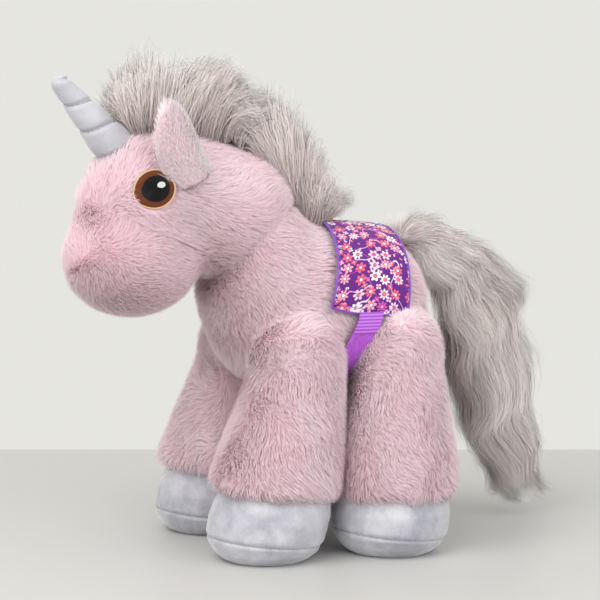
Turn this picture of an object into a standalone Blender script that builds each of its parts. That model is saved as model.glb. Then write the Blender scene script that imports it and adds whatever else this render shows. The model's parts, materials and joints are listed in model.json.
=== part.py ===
"""Plush unicorn, about 28 cm high to the top of its mane: sewn covers, fibre stuffing, hooves and tack.

The toy faces -Y, its left side is +X, +Z is up and the soles rest on z = 0. Lengths are in metres.
"""

import math

import bmesh
import bpy
from mathutils import Matrix, Vector

MM = 0.001

# Frame: the shapes below are laid out from a point under the saddle, and this centres the whole toy.
FRAME_SHIFT_Y = -8.3 * MM

# Fabric
COVER_THICKNESS = 2.5 * MM
LEG_COVER_THICKNESS = 2.0 * MM
SEAM_GAP = 0.5 * MM

# Torso and neck sections, nose end last: (top y, top z, bottom y, bottom z, half width)
TORSO_SECTIONS = [
    (72, 153, 72, 137, 9),
    (66, 171, 68, 112, 34),
    (54, 183, 56, 98, 48),
    (34, 188, 34, 90, 53),
    (14, 190, 10, 88, 53),
    (-1, 195, -18, 91, 51),
    (-11, 206, -42, 102, 48),
    (-18, 215, -56, 124, 43),
    (-22, 220, -63, 149, 38),
]
NECK_PIVOT = Vector((0, -47, 196)) * MM
NECK_RADIUS = 35 * MM
NECK_DIRECTION = Vector((0, -0.77, 0.638)).normalized()
NECK_BALL_RADIUS = 24 * MM
NECK_CLEARANCE = 1.5 * MM
TORSO_SIDES = 18

# Head lobes: (centre, radii)
SKULL = (Vector((0, -93.5, 213)) * MM, Vector((34, 35, 32)) * MM)
NAPE = (Vector((0, -71, 209)) * MM, Vector((32, 32, 34)) * MM)
MUZZLE = (Vector((0, -107, 171)) * MM, Vector((35, 36.5, 28)) * MM)
MUZZLE_SEAM_POINT = Vector((0, -121, 199)) * MM
MUZZLE_SEAM_TILT = math.radians(24.7)

# Legs: hip pivots, hoof centres and radii
FRONT_HIP = Vector((41, -19, 112)) * MM
FRONT_HOOF = Vector((45, -41.6, 15)) * MM
REAR_HIP = Vector((50, 40, 112)) * MM
REAR_HOOF = Vector((55, 33.7, 15)) * MM
HIP_RADIUS = 23 * MM
HEM_RADIUS = 32 * MM
HEM_HEIGHT = 40 * MM
HIP_CLEARANCE = 2.0 * MM
SWING_ROOM_DEPTH = 40 * MM
SWING_ROOM_SLOPE = 0.35

# Horn
HORN_BASE = Vector((0, -117.5, 238.3)) * MM
HORN_LENGTH = 52.5 * MM
HORN_BASE_RADIUS = 12.3 * MM
HORN_TIP_RADIUS = 4.2 * MM
HORN_LEAN = math.radians(49)
HORN_COVER_THICKNESS = 1.2 * MM
HORN_THREAD_PITCH = 17.5 * MM
HORN_THREAD_RADIUS = 0.5 * MM

# Ears
EAR_BASE = Vector((35.5, -85, 221)) * MM
EAR_TIP = Vector((40, -99, 262)) * MM
EAR_WIDTH = 27 * MM
EAR_THICKNESS = 5 * MM
EAR_LINING_THICKNESS = 1.6 * MM
EAR_FACING = math.radians(30)

# Eyes
EYE_CENTRE = Vector((34.6, -105, 214.7)) * MM
EYE_FACING = math.radians(17)
EYE_RADII = {"outline": 11.5 * MM, "iris": 10.2 * MM, "pupil": 7.6 * MM}
EYE_THICKNESS = 1.2 * MM
EYE_GAP = 0.4 * MM
EYE_HIGHLIGHT_RADIUS = 2.2 * MM
EYE_HIGHLIGHT_BEHIND = 2.6 * MM
EYE_HIGHLIGHT_ABOVE = 2.0 * MM

# Saddle cloth, lining and girth, as positions along and around the torso sections
SADDLE_FRONT = 4.05
SADDLE_REAR = 1.75
SADDLE_SLANT = 0.55
SADDLE_EDGE_ANGLE = math.radians(86)
CLOTH_THICKNESS = 1.0 * MM
STRAP_THICKNESS = 1.2 * MM
STRAP_TOP = 3.65
STRAP_BOTTOM = 4.1
STRAP_HALF_WIDTH = 7.5 * MM
STRAP_WAIST_HALF_WIDTH = 3.0 * MM


def fabric(name, colour, roughness):
    """A matt Principled material; every sub-part of the toy is non-metallic."""
    material = bpy.data.materials.new(name)
    material.use_nodes = True
    shader = material.node_tree.nodes["Principled BSDF"]
    shader.inputs["Base Color"].default_value = (*colour, 1.0)
    shader.inputs["Roughness"].default_value = roughness
    shader.inputs["Metallic"].default_value = 0.0
    return material


def clear_scene():
    for obj in list(bpy.data.objects):
        bpy.data.objects.remove(obj, do_unlink=True)


def new_collection(name):
    collection = bpy.data.collections.new(name)
    bpy.context.scene.collection.children.link(collection)
    return collection


clear_scene()
toy = new_collection("plush_unicorn")
cutters = new_collection("cutters")

PINK = fabric("dusty_pink_plush", (0.66, 0.40, 0.46), 0.9)
MUZZLE_PINK = fabric("muzzle_plush", (0.58, 0.33, 0.39), 0.9)
FILLING = fabric("polyester_filling", (0.85, 0.85, 0.82), 1.0)
PELLETS = fabric("pellet_bag", (0.80, 0.80, 0.76), 0.8)
SATIN = fabric("silver_velboa", (0.52, 0.52, 0.58), 0.55)
HAIR = fabric("taupe_long_pile", (0.40, 0.35, 0.34), 0.85)
THREAD = fabric("grey_thread", (0.42, 0.42, 0.47), 0.6)
PRINT = fabric("printed_cotton", (0.20, 0.05, 0.32), 0.8)
LINING = fabric("violet_lining", (0.16, 0.12, 0.42), 0.8)
RIBBON = fabric("violet_webbing", (0.36, 0.08, 0.60), 0.5)
RUST = fabric("rust_thread", (0.30, 0.09, 0.04), 0.5)
CREAM = fabric("cream_thread", (0.80, 0.62, 0.42), 0.5)
BLACK = fabric("black_thread", (0.01, 0.01, 0.01), 0.4)
WHITE = fabric("white_thread", (0.9, 0.9, 0.9), 0.4)

frame_origin = bpy.data.objects.new("plush_unicorn_origin", None)
toy.objects.link(frame_origin)
frame_origin.location = (0, FRAME_SHIFT_Y, 0)


def place(obj, material=None, hidden=False):
    """Puts an object under the toy's origin, as a sub-part or as a hidden cutter."""
    (cutters if hidden else toy).objects.link(obj)
    obj.parent = frame_origin
    if hidden:
        obj.hide_render = True
        obj.display_type = "WIRE"
    if material:
        obj.data.materials.append(material)
    return obj


def mesh_object(name, shape, material=None, hidden=False):
    """An object from a bmesh, with its faces turned outwards and shaded smooth."""
    bmesh.ops.recalc_face_normals(shape, faces=shape.faces)
    mesh = bpy.data.meshes.new(name)
    shape.to_mesh(mesh)
    shape.free()
    mesh.shade_smooth()
    return place(bpy.data.objects.new(name, mesh), material, hidden)


def loft(rings, close_start=True, close_end=True):
    """A bmesh skin over rings of equally many points; a closed end is one flat face."""
    shape = bmesh.new()
    loops = [[shape.verts.new(point) for point in ring] for ring in rings]
    around = len(loops[0])
    for lower, upper in zip(loops, loops[1:]):
        for i in range(around):
            j = (i + 1) % around
            shape.faces.new((lower[i], lower[j], upper[j], upper[i]))
    if close_start:
        shape.faces.new(loops[0])
    if close_end:
        shape.faces.new(loops[-1])
    return shape


def drawn_in(shape, distance):
    """Moves a closed bmesh's points inwards, so that its faces lie that far inside where they were."""
    bmesh.ops.recalc_face_normals(shape, faces=shape.faces)
    shape.normal_update()
    moves = [vert.normal * distance * vert.calc_shell_factor() for vert in shape.verts]
    for vert, move in zip(shape.verts, moves):
        vert.co -= move
    return shape


def solidify(obj, thickness):
    """Turns an open surface into a shell that grows inwards."""
    shell = obj.modifiers.new("shell", "SOLIDIFY")
    shell.thickness = thickness
    shell.offset = -1
    shell.use_even_offset = True
    return obj


def boolean(obj, other, operation="DIFFERENCE"):
    step = obj.modifiers.new(f"{operation.lower()} {other.name}", "BOOLEAN")
    step.operation = operation
    step.object = other
    return obj


def ellipsoid(name, centre, radii, segments=18, rings=10, material=None, hidden=False):
    shape = bmesh.new()
    size = Matrix.Diagonal((*radii, 1))
    bmesh.ops.create_uvsphere(shape, u_segments=segments, v_segments=rings, radius=1, matrix=size)
    obj = mesh_object(name, shape, material, hidden)
    obj.location = centre
    return obj


def smooth_between(values, position):
    """The Catmull-Rom value of rows of numbers at a fractional row number."""
    last = len(values) - 1
    row = min(int(position), last - 1)
    f = position - row
    a, b, c, d = (values[min(max(row + k, 0), last)] for k in (-1, 0, 1, 2))
    return tuple(
        0.5 * (2 * q + f * (r - p) + f * f * (2 * p - 5 * q + 4 * r - s) + f**3 * (3 * q - p - 3 * r + s))
        for p, q, r, s in zip(a, b, c, d)
    )


def section_point(section, angle, outwards=0.0):
    """A point of a section at an angle from its top, moved outwards by a distance."""
    top_y, top_z, bottom_y, bottom_z, half_width = (value * MM for value in section)
    up = Vector((0, top_y - bottom_y, top_z - bottom_z)) / 2
    centre = Vector((0, top_y + bottom_y, top_z + bottom_z)) / 2
    up += up.normalized() * outwards
    return centre + up * math.cos(angle) + Vector(((half_width + outwards) * math.sin(angle), 0, 0))


def section_ring(section, around):
    return [section_point(section, math.tau * i / around) for i in range(around)]


def circle(centre, radius, around, normal=Vector((0, 0, 1))):
    """Points of a circle across a direction that lies in the YZ plane."""
    across = Vector((1, 0, 0))
    up = normal.cross(across)
    return [
        centre + radius * (math.sin(a) * across + math.cos(a) * up)
        for a in (math.tau * i / around for i in range(around))
    ]


def torso_rings(around):
    return [section_ring(section, around) for section in TORSO_SECTIONS]


def neck_dome(around, radius, latitudes):
    """Rings of the neck's ball-shaped end, which stays put as the head turns and nods on it."""
    return [
        circle(
            NECK_PIVOT + NECK_DIRECTION * radius * math.sin(math.radians(latitude)),
            radius * math.cos(math.radians(latitude)),
            around,
            NECK_DIRECTION,
        )
        for latitude in latitudes
    ]


def hip_sockets():
    """What the legs move in, cut from the torso: a sphere around each hip pivot and a cone under it."""
    radius = HIP_RADIUS + HIP_CLEARANCE
    room = []
    for i, hip in enumerate((FRONT_HIP, REAR_HIP, mirrored(FRONT_HIP), mirrored(REAR_HIP))):
        socket = ellipsoid(f"socket_{i}", hip, Vector((1, 1, 1)) * radius, 16, 10, hidden=True)
        shape = bmesh.new()
        bmesh.ops.create_cone(
            shape,
            cap_ends=True,
            segments=15,
            radius1=radius + SWING_ROOM_DEPTH * SWING_ROOM_SLOPE,
            radius2=radius - 1 * MM,
            depth=SWING_ROOM_DEPTH,
        )
        cone = mesh_object(f"swing_room_{i}", shape, hidden=True)
        cone.location = hip - Vector((0, 0, SWING_ROOM_DEPTH / 2))
        room += [socket, cone]
    return room


def mirrored(point):
    return Vector((-point.x, point.y, point.z))


def build_torso():
    sockets = hip_sockets()
    rings = torso_rings(TORSO_SIDES) + neck_dome(TORSO_SIDES, NECK_RADIUS, (0, 28, 54))
    cover = mesh_object("body_cover", loft(rings, close_end=False), PINK)
    solidify(cover, COVER_THICKNESS)
    filled = drawn_in(loft(torso_rings(TORSO_SIDES)), COVER_THICKNESS + 2 * SEAM_GAP)
    stuffing = mesh_object("body_stuffing", filled, FILLING)
    room_radii = Vector((1, 1, 1)) * (NECK_BALL_RADIUS + NECK_CLEARANCE)
    ball_room = ellipsoid("neck_ball_room", NECK_PIVOT, room_radii, 16, 9, hidden=True)
    boolean(stuffing, ball_room)
    for socket in sockets:
        boolean(cover, socket)
        boolean(stuffing, socket)
    ellipsoid("neck_stuffing", NECK_PIVOT, Vector((1, 1, 1)) * NECK_BALL_RADIUS, 14, 8, FILLING)


def head_lobes(name, inset, hidden, material=None):
    """The union of skull, nape and muzzle, made smaller by an inset."""
    less = Vector((inset, inset, inset))
    skull = ellipsoid(name, SKULL[0], SKULL[1] - less, material=material, hidden=hidden)
    for lobe, (centre, radii) in (("nape", NAPE), ("muzzle", MUZZLE)):
        boolean(skull, ellipsoid(f"{name}_{lobe}", centre, radii - less, hidden=True), "UNION")
    return skull


def seam_block(name, side):
    """A block on one side of the muzzle seam plane: side 1 is above it and -1 below it."""
    half = 80 * MM
    shape = bmesh.new()
    bmesh.ops.create_cube(shape, size=2 * half)
    block = mesh_object(name, shape, hidden=True)
    tilt = Matrix.Rotation(-MUZZLE_SEAM_TILT, 3, "X")
    block.rotation_euler = tilt.to_euler()
    block.location = MUZZLE_SEAM_POINT + tilt @ Vector((0, 0, side * half - 0.5 * side * SEAM_GAP))
    return block


def build_head():
    neck_room = ellipsoid(
        "neck_room", NECK_PIVOT, Vector((1, 1, 1)) * (NECK_RADIUS + NECK_CLEARANCE), 20, 12, hidden=True
    )
    above = seam_block("above_muzzle_seam", 1)
    below = seam_block("below_muzzle_seam", -1)
    inner = head_lobes("head_inside", COVER_THICKNESS, True)
    for name, material, cutter in (("head_cover", PINK, below), ("muzzle_panel", MUZZLE_PINK, above)):
        cover = head_lobes(name, 0, False, material)
        for other in (inner, neck_room, cutter):
            boolean(cover, other)
    stuffing = head_lobes("head_stuffing", COVER_THICKNESS + SEAM_GAP, False, FILLING)
    boolean(stuffing, neck_room)


def leg_ring(hip, hoof, height, radius, around):
    """A level ring of the leg at a height, centred on the line from the hip to the hoof."""
    down = (hip.z - height) / (hip.z - hoof.z)
    centre = hip.lerp(hoof, max(down, 0))
    centre.z = height
    return circle(centre, radius, around)


def leg_rings(hip, hoof, inset, polar_angles, heights, around=16):
    """The ball-shaped top of a leg, then its flared tube."""
    rings = []
    for polar in polar_angles:
        height = hip.z + (HIP_RADIUS - inset) * math.cos(math.radians(polar))
        radius = (HIP_RADIUS - inset) * math.sin(math.radians(polar))
        rings.append(circle(Vector((hip.x, hip.y, height)), radius, around))
    for height in heights:
        flare = min(1.0, (hip.z - height) / (hip.z - HEM_HEIGHT))
        radius = HIP_RADIUS + (HEM_RADIUS - HIP_RADIUS) * flare - inset
        rings.append(leg_ring(hip, hoof, height, radius, around))
    return rings


HOOF_PROFILE = [(39.5, 31.2), (34, 33.9), (25, 35.0), (13.5, 33.6)]
SOLE_PROFILE = [(13, 33.2), (5, 29.5), (0, 22.5)]


def build_leg(name, hip, hoof):
    heights = [h * MM for h in (96, 78, 60, 40)]
    cover_rings = leg_rings(hip, hoof, 0, (20, 45, 68, 90), heights)
    cover = mesh_object(f"{name}_leg_cover", loft(cover_rings, close_start=False, close_end=False), PINK)
    solidify(cover, LEG_COVER_THICKNESS)
    inset = LEG_COVER_THICKNESS + 2 * SEAM_GAP
    stuffing_heights = [h * MM for h in (84, 60, 40, 29)]
    stuffing_rings = leg_rings(hip, hoof, inset, (25, 55, 90), stuffing_heights)
    mesh_object(f"{name}_leg_stuffing", loft(stuffing_rings), FILLING)
    hoof_rings = [leg_ring(hip, hoof, h * MM, r * MM, 18) for h, r in HOOF_PROFILE]
    hoof_shape = loft(hoof_rings, close_start=False, close_end=False)
    hoof_cover = mesh_object(f"{name}_hoof_cover", hoof_shape, SATIN)
    solidify(hoof_cover, 1.5 * MM)
    sole_rings = [leg_ring(hip, hoof, h * MM, r * MM, 18) for h, r in SOLE_PROFILE]
    sole = mesh_object(f"{name}_hoof_sole", loft(sole_rings, close_start=False), SATIN)
    solidify(sole, 1.5 * MM)
    pellet_centre = Vector((hoof.x, hoof.y, 14.5 * MM))
    ellipsoid(f"{name}_hoof_pellets", pellet_centre, Vector((25, 25, 11)) * MM, 10, 6, PELLETS)


def turned(name, profile, steps, material):
    """A surface of revolution about the object's own Z axis, from (radius, height) points, top to bottom."""
    shape = bmesh.new()
    points = [shape.verts.new((radius, 0, height)) for radius, height in profile]
    for upper, lower in zip(points, points[1:]):
        shape.edges.new((upper, lower))
    mesh = bpy.data.meshes.new(name)
    shape.to_mesh(mesh)
    shape.free()
    obj = place(bpy.data.objects.new(name, mesh), material)
    screw = obj.modifiers.new("turn", "SCREW")
    screw.angle = math.tau
    screw.steps = screw.render_steps = steps
    screw.use_merge_vertices = True
    screw.merge_threshold = 1e-5
    return obj


def horn_profile(inset, base):
    """From the round tip down to the base, at an inset from the outside."""
    tip_radius = HORN_TIP_RADIUS - inset
    centre = HORN_LENGTH - HORN_TIP_RADIUS
    points = [
        (tip_radius * math.sin(math.radians(a)), centre + tip_radius * math.cos(math.radians(a)))
        for a in (0, 30, 60, 85)
    ]
    for share in (0.72, 0.45, 0.2, 0.0):
        height = base + (centre - base) * share
        points.append((horn_radius(height) - inset, height))
    return points


def horn_radius(height):
    return HORN_BASE_RADIUS + (HORN_TIP_RADIUS - HORN_BASE_RADIUS) * height / (HORN_LENGTH - HORN_TIP_RADIUS)


def build_horn():
    lean = (math.pi / 2 - HORN_LEAN, 0, 0)
    cover = turned("horn_cover", horn_profile(0, 0), 16, SATIN)
    solidify(cover, HORN_COVER_THICKNESS)
    filled = horn_profile(HORN_COVER_THICKNESS + SEAM_GAP, 1 * MM)
    stuffing = turned("horn_stuffing", filled + [(0, 1 * MM)], 14, FILLING)
    for obj in (cover, stuffing):
        obj.location = HORN_BASE
        obj.rotation_euler = lean
    thread = bpy.data.curves.new("horn_thread", "CURVE")
    thread.dimensions = "3D"
    thread.bevel_depth = HORN_THREAD_RADIUS
    thread.bevel_resolution = 1
    thread.use_fill_caps = True
    turns, per_turn = 2.6, 12
    count = int(turns * per_turn) + 1
    spline = thread.splines.new("POLY")
    spline.points.add(count - 1)
    for i, point in enumerate(spline.points):
        angle = math.tau * i / per_turn
        height = 6 * MM + HORN_THREAD_PITCH * i / per_turn
        radius = horn_radius(height) + HORN_THREAD_RADIUS + 0.4 * MM
        point.co = (radius * math.cos(angle), radius * math.sin(angle), height, 1)
    wrap = place(bpy.data.objects.new("horn_thread", thread), THREAD)
    wrap.location = HORN_BASE
    wrap.rotation_euler = lean


def ear_axes(side):
    """The ear's own axes in the toy's frame: across its face, out of its back, and from base to tip."""
    base = Vector((side * EAR_BASE.x, EAR_BASE.y, EAR_BASE.z))
    tip = Vector((side * EAR_TIP.x, EAR_TIP.y, EAR_TIP.z))
    along = (tip - base).normalized()
    out = Vector((side * math.cos(EAR_FACING), math.sin(EAR_FACING), 0))
    out = (out - along * out.dot(along)).normalized()
    across = out.cross(along)
    return base, across, out, along


def ear_shape(length, width, thickness):
    """A leaf that is widest at a third of its length, its round base at the origin, along +Z."""
    rings = []
    for share, wide in ((0.02, 0.35), (0.12, 0.8), (0.33, 1.0), (0.6, 0.82), (0.83, 0.5), (0.97, 0.16)):
        thick = thickness * (0.35 + 0.65 * wide)
        rings.append(
            [
                Vector((0.5 * width * wide * math.cos(a), 0.5 * thick * math.sin(a), share * length))
                for a in (math.tau * i / 14 for i in range(14))
            ]
        )
    return loft(rings)


def build_ear(name, side):
    base, across, out, along = ear_axes(side)
    length = (EAR_TIP - EAR_BASE).length
    turn = Matrix((across, out, along)).transposed().to_4x4()
    outer = mesh_object(f"{name}_outer", ear_shape(length, EAR_WIDTH, EAR_THICKNESS), PINK)
    outer.matrix_local = Matrix.Translation(base) @ turn
    lining_shape = ear_shape(length * 0.82, EAR_WIDTH * 0.8, EAR_LINING_THICKNESS)
    lining = mesh_object(f"{name}_lining", lining_shape, SATIN)
    step = 0.5 * (EAR_THICKNESS + EAR_LINING_THICKNESS) + SEAM_GAP
    lining.matrix_local = Matrix.Translation(base - out * step + along * 3 * MM) @ turn


def disc(name, outer, inner, thickness, material):
    """A flat ring, or a full disc where inner is 0, standing on the XY plane."""
    top = [(inner, thickness), (outer, thickness), (outer, 0), (inner, 0)]
    return turned(name, top + top[:1] if inner else top, 16, material)


def build_eye(name, side):
    facing = Vector((side * math.cos(EYE_FACING), -math.sin(EYE_FACING), 0))
    turn = facing.to_track_quat("Z", "Y").to_matrix().to_4x4()
    centre = Vector((side * EYE_CENTRE.x, EYE_CENTRE.y, EYE_CENTRE.z))
    outline, iris, pupil = EYE_RADII["outline"], EYE_RADII["iris"], EYE_RADII["pupil"]
    pieces = [
        disc(f"{name}_outline", outline, iris + EYE_GAP, EYE_THICKNESS, CREAM),
        disc(f"{name}_iris", iris, pupil + EYE_GAP, EYE_THICKNESS, RUST),
        disc(f"{name}_pupil", pupil, 0, EYE_THICKNESS, BLACK),
    ]
    for piece in pieces:
        piece.matrix_local = Matrix.Translation(centre) @ turn
    highlight = disc(f"{name}_highlight", EYE_HIGHLIGHT_RADIUS, 0, 0.5 * MM, WHITE)
    rearwards = Vector((side * math.sin(EYE_FACING), math.cos(EYE_FACING), 0))
    offset = facing * (EYE_THICKNESS + EYE_GAP) + rearwards * EYE_HIGHLIGHT_BEHIND
    offset.z += EYE_HIGHLIGHT_ABOVE
    highlight.matrix_local = Matrix.Translation(centre + offset) @ turn


# Hair volumes: (top y, top z, bottom y, bottom z, half width)
FORELOCK_SECTIONS = [
    (-116, 262, -108, 249, 5),
    (-110, 275, -103, 248, 12),
    (-98, 283, -94, 248, 16),
    (-82, 284, -82, 247, 17),
    (-66, 283, -66, 247, 17),
    (-54, 278, -53, 246, 15),
    (-50, 268, -48, 248, 10),
]
MANE_SECTIONS = [
    (-31, 263, -26, 228, 8),
    (-22, 269, -19, 222, 14),
    (-8, 264, -11, 210.5, 16),
    (5, 250, -2, 201, 16),
    (15, 233, 6, 197.5, 15),
    (22, 213, 11, 196.5, 12),
    (25, 204, 16, 196.5, 7),
]
TAIL_ROOT = Vector((0, 72, 181)) * MM
TAIL_SECTIONS = [
    (82, 189, 82, 174, 7),
    (98, 189, 89, 160, 16),
    (118, 184, 92, 142, 22),
    (140, 170, 94, 122, 26),
    (154, 146, 97, 100, 27),
    (158, 114, 102, 80, 27),
    (160, 84, 110, 60, 26),
    (166, 58, 122, 42, 22),
    (170, 34, 134, 27, 15),
    (168, 16, 146, 14, 7),
]


def hair_volume(name, sections, steps=1):
    last = len(sections) - 1
    rings = [
        section_ring(smooth_between(sections, last * i / (last * steps)), 12) for i in range(last * steps + 1)
    ]
    return mesh_object(name, loft(rings), HAIR)


def build_tail():
    hair_volume("tail_pile", TAIL_SECTIONS)
    shape = bmesh.new()
    bmesh.ops.create_cone(shape, cap_ends=True, segments=12, radius1=5 * MM, radius2=5 * MM, depth=14 * MM)
    tab = mesh_object("tail_root_tab", shape, HAIR)
    tab.rotation_euler = (math.pi / 2, 0, 0)
    tab.location = TAIL_ROOT


def saddle_position(share, angle):
    """Where the cloth lies along the torso: its flaps slant forwards as they hang down."""
    along = SADDLE_FRONT + (SADDLE_REAR - SADDLE_FRONT) * share
    return along + SADDLE_SLANT * (1 - math.cos(angle))


def build_saddle():
    for name, material, outwards, edge in (
        ("saddle_lining", LINING, 1.2 * MM, SADDLE_EDGE_ANGLE * 0.985),
        ("saddle_cloth", PRINT, 1.2 * MM + CLOTH_THICKNESS + SEAM_GAP, SADDLE_EDGE_ANGLE),
    ):
        shape = bmesh.new()
        rows = []
        for i in range(7):
            row = []
            for j in range(15):
                angle = edge * (2 * j / 14 - 1)
                section = smooth_between(TORSO_SECTIONS, saddle_position(i / 6, angle))
                row.append(shape.verts.new(section_point(section, angle, outwards + CLOTH_THICKNESS)))
            rows.append(row)
        for front, rear in zip(rows, rows[1:]):
            for j in range(14):
                shape.faces.new((front[j], front[j + 1], rear[j + 1], rear[j]))
        cloth = mesh_object(name, shape, material)
        solidify(cloth, CLOTH_THICKNESS)


def build_girth():
    """A webbing strap from flap to flap round the belly, squeezed narrow between the legs."""
    shape = bmesh.new()
    rows = []
    steps = 26
    first = math.radians(92)
    for i in range(steps + 1):
        angle = first + (math.tau - 2 * first) * i / steps
        dip = min(1.0, abs(math.cos(angle)) / 0.25)
        along = STRAP_TOP + (STRAP_BOTTOM - STRAP_TOP) * dip
        half = STRAP_HALF_WIDTH + (STRAP_WAIST_HALF_WIDTH - STRAP_HALF_WIDTH) * dip
        centre = section_point(smooth_between(TORSO_SECTIONS, along), angle, 0.8 * MM + STRAP_THICKNESS)
        rows.append([shape.verts.new(centre + Vector((0, side * half, 0))) for side in (-1, 0, 1)])
    for upper, lower in zip(rows, rows[1:]):
        for k in (0, 1):
            shape.faces.new((upper[k], upper[k + 1], lower[k + 1], lower[k]))
    strap = mesh_object("girth_strap", shape, RIBBON)
    solidify(strap, STRAP_THICKNESS)


build_torso()
build_head()
build_horn()
for side_name, side in (("left", 1), ("right", -1)):
    build_ear(f"{side_name}_ear", side)
    build_eye(f"{side_name}_eye", side)
    for end, hip, hoof in (("front", FRONT_HIP, FRONT_HOOF), ("rear", REAR_HIP, REAR_HOOF)):
        at = (hip, hoof) if side > 0 else (mirrored(hip), mirrored(hoof))
        build_leg(f"{end}_{side_name}", *at)
hair_volume("forelock_pile", FORELOCK_SECTIONS)
hair_volume("mane_pile", MANE_SECTIONS)
build_tail()
build_saddle()
build_girth()
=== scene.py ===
"""Looks of the plush unicorn: sewn skins, fur, long pile, embroidery, satin and printed cotton.

The layout numbers are millimetres in the toy's own layout, whose origin is under the saddle; at() puts
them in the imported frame. The toy faces -Y, its left side is +X.
"""
import json
import math

import bmesh
import bpy
import numpy as np
from mathutils import Matrix, Vector, kdtree


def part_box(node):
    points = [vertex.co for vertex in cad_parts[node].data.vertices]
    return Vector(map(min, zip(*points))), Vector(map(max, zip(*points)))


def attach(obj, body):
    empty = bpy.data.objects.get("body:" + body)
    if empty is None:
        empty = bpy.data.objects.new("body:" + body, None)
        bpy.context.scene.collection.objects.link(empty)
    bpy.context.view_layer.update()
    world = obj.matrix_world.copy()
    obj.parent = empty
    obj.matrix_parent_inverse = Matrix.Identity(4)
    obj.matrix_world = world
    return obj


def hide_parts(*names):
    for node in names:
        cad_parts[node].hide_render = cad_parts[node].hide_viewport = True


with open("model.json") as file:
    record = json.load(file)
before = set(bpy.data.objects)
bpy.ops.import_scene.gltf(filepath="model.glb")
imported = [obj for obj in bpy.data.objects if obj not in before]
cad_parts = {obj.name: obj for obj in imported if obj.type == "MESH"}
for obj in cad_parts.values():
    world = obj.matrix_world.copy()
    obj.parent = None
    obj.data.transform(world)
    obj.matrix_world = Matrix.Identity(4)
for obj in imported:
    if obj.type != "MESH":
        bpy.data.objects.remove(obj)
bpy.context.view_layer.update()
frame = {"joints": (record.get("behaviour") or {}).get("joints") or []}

MM = 0.001
JOINTS = {joint["name"]: joint for joint in frame["joints"]}
LAYOUT_NECK = np.array((0, -47, 196)) * MM
ORIGIN = np.array(JOINTS["head_nod"]["pos_m"]) - LAYOUT_NECK
DENSITY = 1.0
rng = np.random.default_rng(7)


def at(x, y, z):
    """A layout point in the frame, in metres."""
    return np.array((x, y, z), float) * MM + ORIGIN


# ---------------------------------------------------------------- camera, light and floor

VIEW_AZIMUTH = math.radians(66)
VIEW_DISTANCE = 1.2
VIEW_HEIGHT = 0.264
VIEW_PITCH = math.radians(5.68)
VIEW_LENS = 120
SENSOR_WIDTH = 36
LIGHT_AIM = Vector((0, 0, 0.12))
WALL_TONE = (0.79, 0.785, 0.75, 1)
FLOOR_TONE = (0.545, 0.545, 0.535)
FLOOR_SIZE = 6.0
FLOOR_BEHIND = 0.30


def make_camera():
    """A long lens at a little over the toy's height, looking down at its left side."""
    data = bpy.data.cameras.new("photo_camera")
    data.lens = VIEW_LENS
    data.sensor_width = SENSOR_WIDTH
    camera = bpy.data.objects.new("photo_camera", data)
    bpy.context.scene.collection.objects.link(camera)
    away = Vector((math.sin(VIEW_AZIMUTH), -math.cos(VIEW_AZIMUTH), 0)) * VIEW_DISTANCE
    camera.location = Vector(ORIGIN) + away
    camera.location.z = VIEW_HEIGHT
    camera.rotation_euler = (math.pi / 2 - VIEW_PITCH, 0, VIEW_AZIMUTH)
    bpy.context.scene.camera = camera


def area_light(name, azimuth, elevation, distance, size, power, colour):
    """A round soft light that faces the toy's middle from an azimuth and elevation in degrees."""
    data = bpy.data.lights.new(name, "AREA")
    data.shape = "DISK"
    data.size = size
    data.energy = power
    data.color = colour
    light = bpy.data.objects.new(name, data)
    bpy.context.scene.collection.objects.link(light)
    a, e = math.radians(azimuth), math.radians(elevation)
    place = Vector((math.sin(a) * math.cos(e), -math.cos(a) * math.cos(e), math.sin(e))) * distance
    light.location = place + LIGHT_AIM
    light.rotation_euler = place.to_track_quat("Z", "Y").to_euler()


def make_studio():
    """A pale wall of light all round, a window and a fill, and a table that ends just behind the toy."""
    bpy.context.scene.view_settings.view_transform = "Standard"
    world = bpy.data.worlds.new("studio")
    bpy.context.scene.world = world
    world.use_nodes = True
    world.node_tree.nodes["Background"].inputs["Color"].default_value = WALL_TONE
    world.node_tree.nodes["Background"].inputs["Strength"].default_value = 1.0
    area_light("window", 30, 45, 1.6, 1.4, 18.5, (1.0, 0.985, 0.965))
    area_light("fill", 110, 25, 1.8, 1.8, 11, (0.97, 0.98, 1.0))
    reach = FLOOR_SIZE / 2 - FLOOR_BEHIND
    place = (math.sin(VIEW_AZIMUTH) * reach, -math.cos(VIEW_AZIMUTH) * reach, 0)
    bpy.ops.mesh.primitive_plane_add(size=FLOOR_SIZE, location=place, rotation=(0, 0, VIEW_AZIMUTH))
    floor = bpy.context.object
    floor.name = "studio_floor"
    floor.data.materials.append(plain("pale_floor", FLOOR_TONE, 0.45))


# ---------------------------------------------------------------- materials


def shader_of(name, roughness, **values):
    """A new material whose Principled node has these constants on its own sockets."""
    material = bpy.data.materials.new(name)
    material.use_nodes = True
    shader = material.node_tree.nodes["Principled BSDF"]
    shader.inputs["Roughness"].default_value = roughness
    for socket, value in values.items():
        shader.inputs[socket.replace("_", " ")].default_value = value
    return material


def plain(name, colour, roughness):
    return shader_of(name, roughness, Base_Color=(*colour, 1))


def node(material, kind, inputs=None, **settings):
    """Adds a node; inputs maps a socket's name or number to a value or to another node's output."""
    made = material.node_tree.nodes.new(kind)
    for key, value in settings.items():
        setattr(made, key, value)
    for key, value in (inputs or {}).items():
        if isinstance(value, bpy.types.NodeSocket):
            material.node_tree.links.new(value, made.inputs[key])
        else:
            made.inputs[key].default_value = value
    return made


def calculate(material, operation, first, second=None, third=None):
    values = {i: value for i, value in enumerate((first, second, third)) if value is not None}
    return node(material, "ShaderNodeMath", values, operation=operation).outputs[0]


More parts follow.
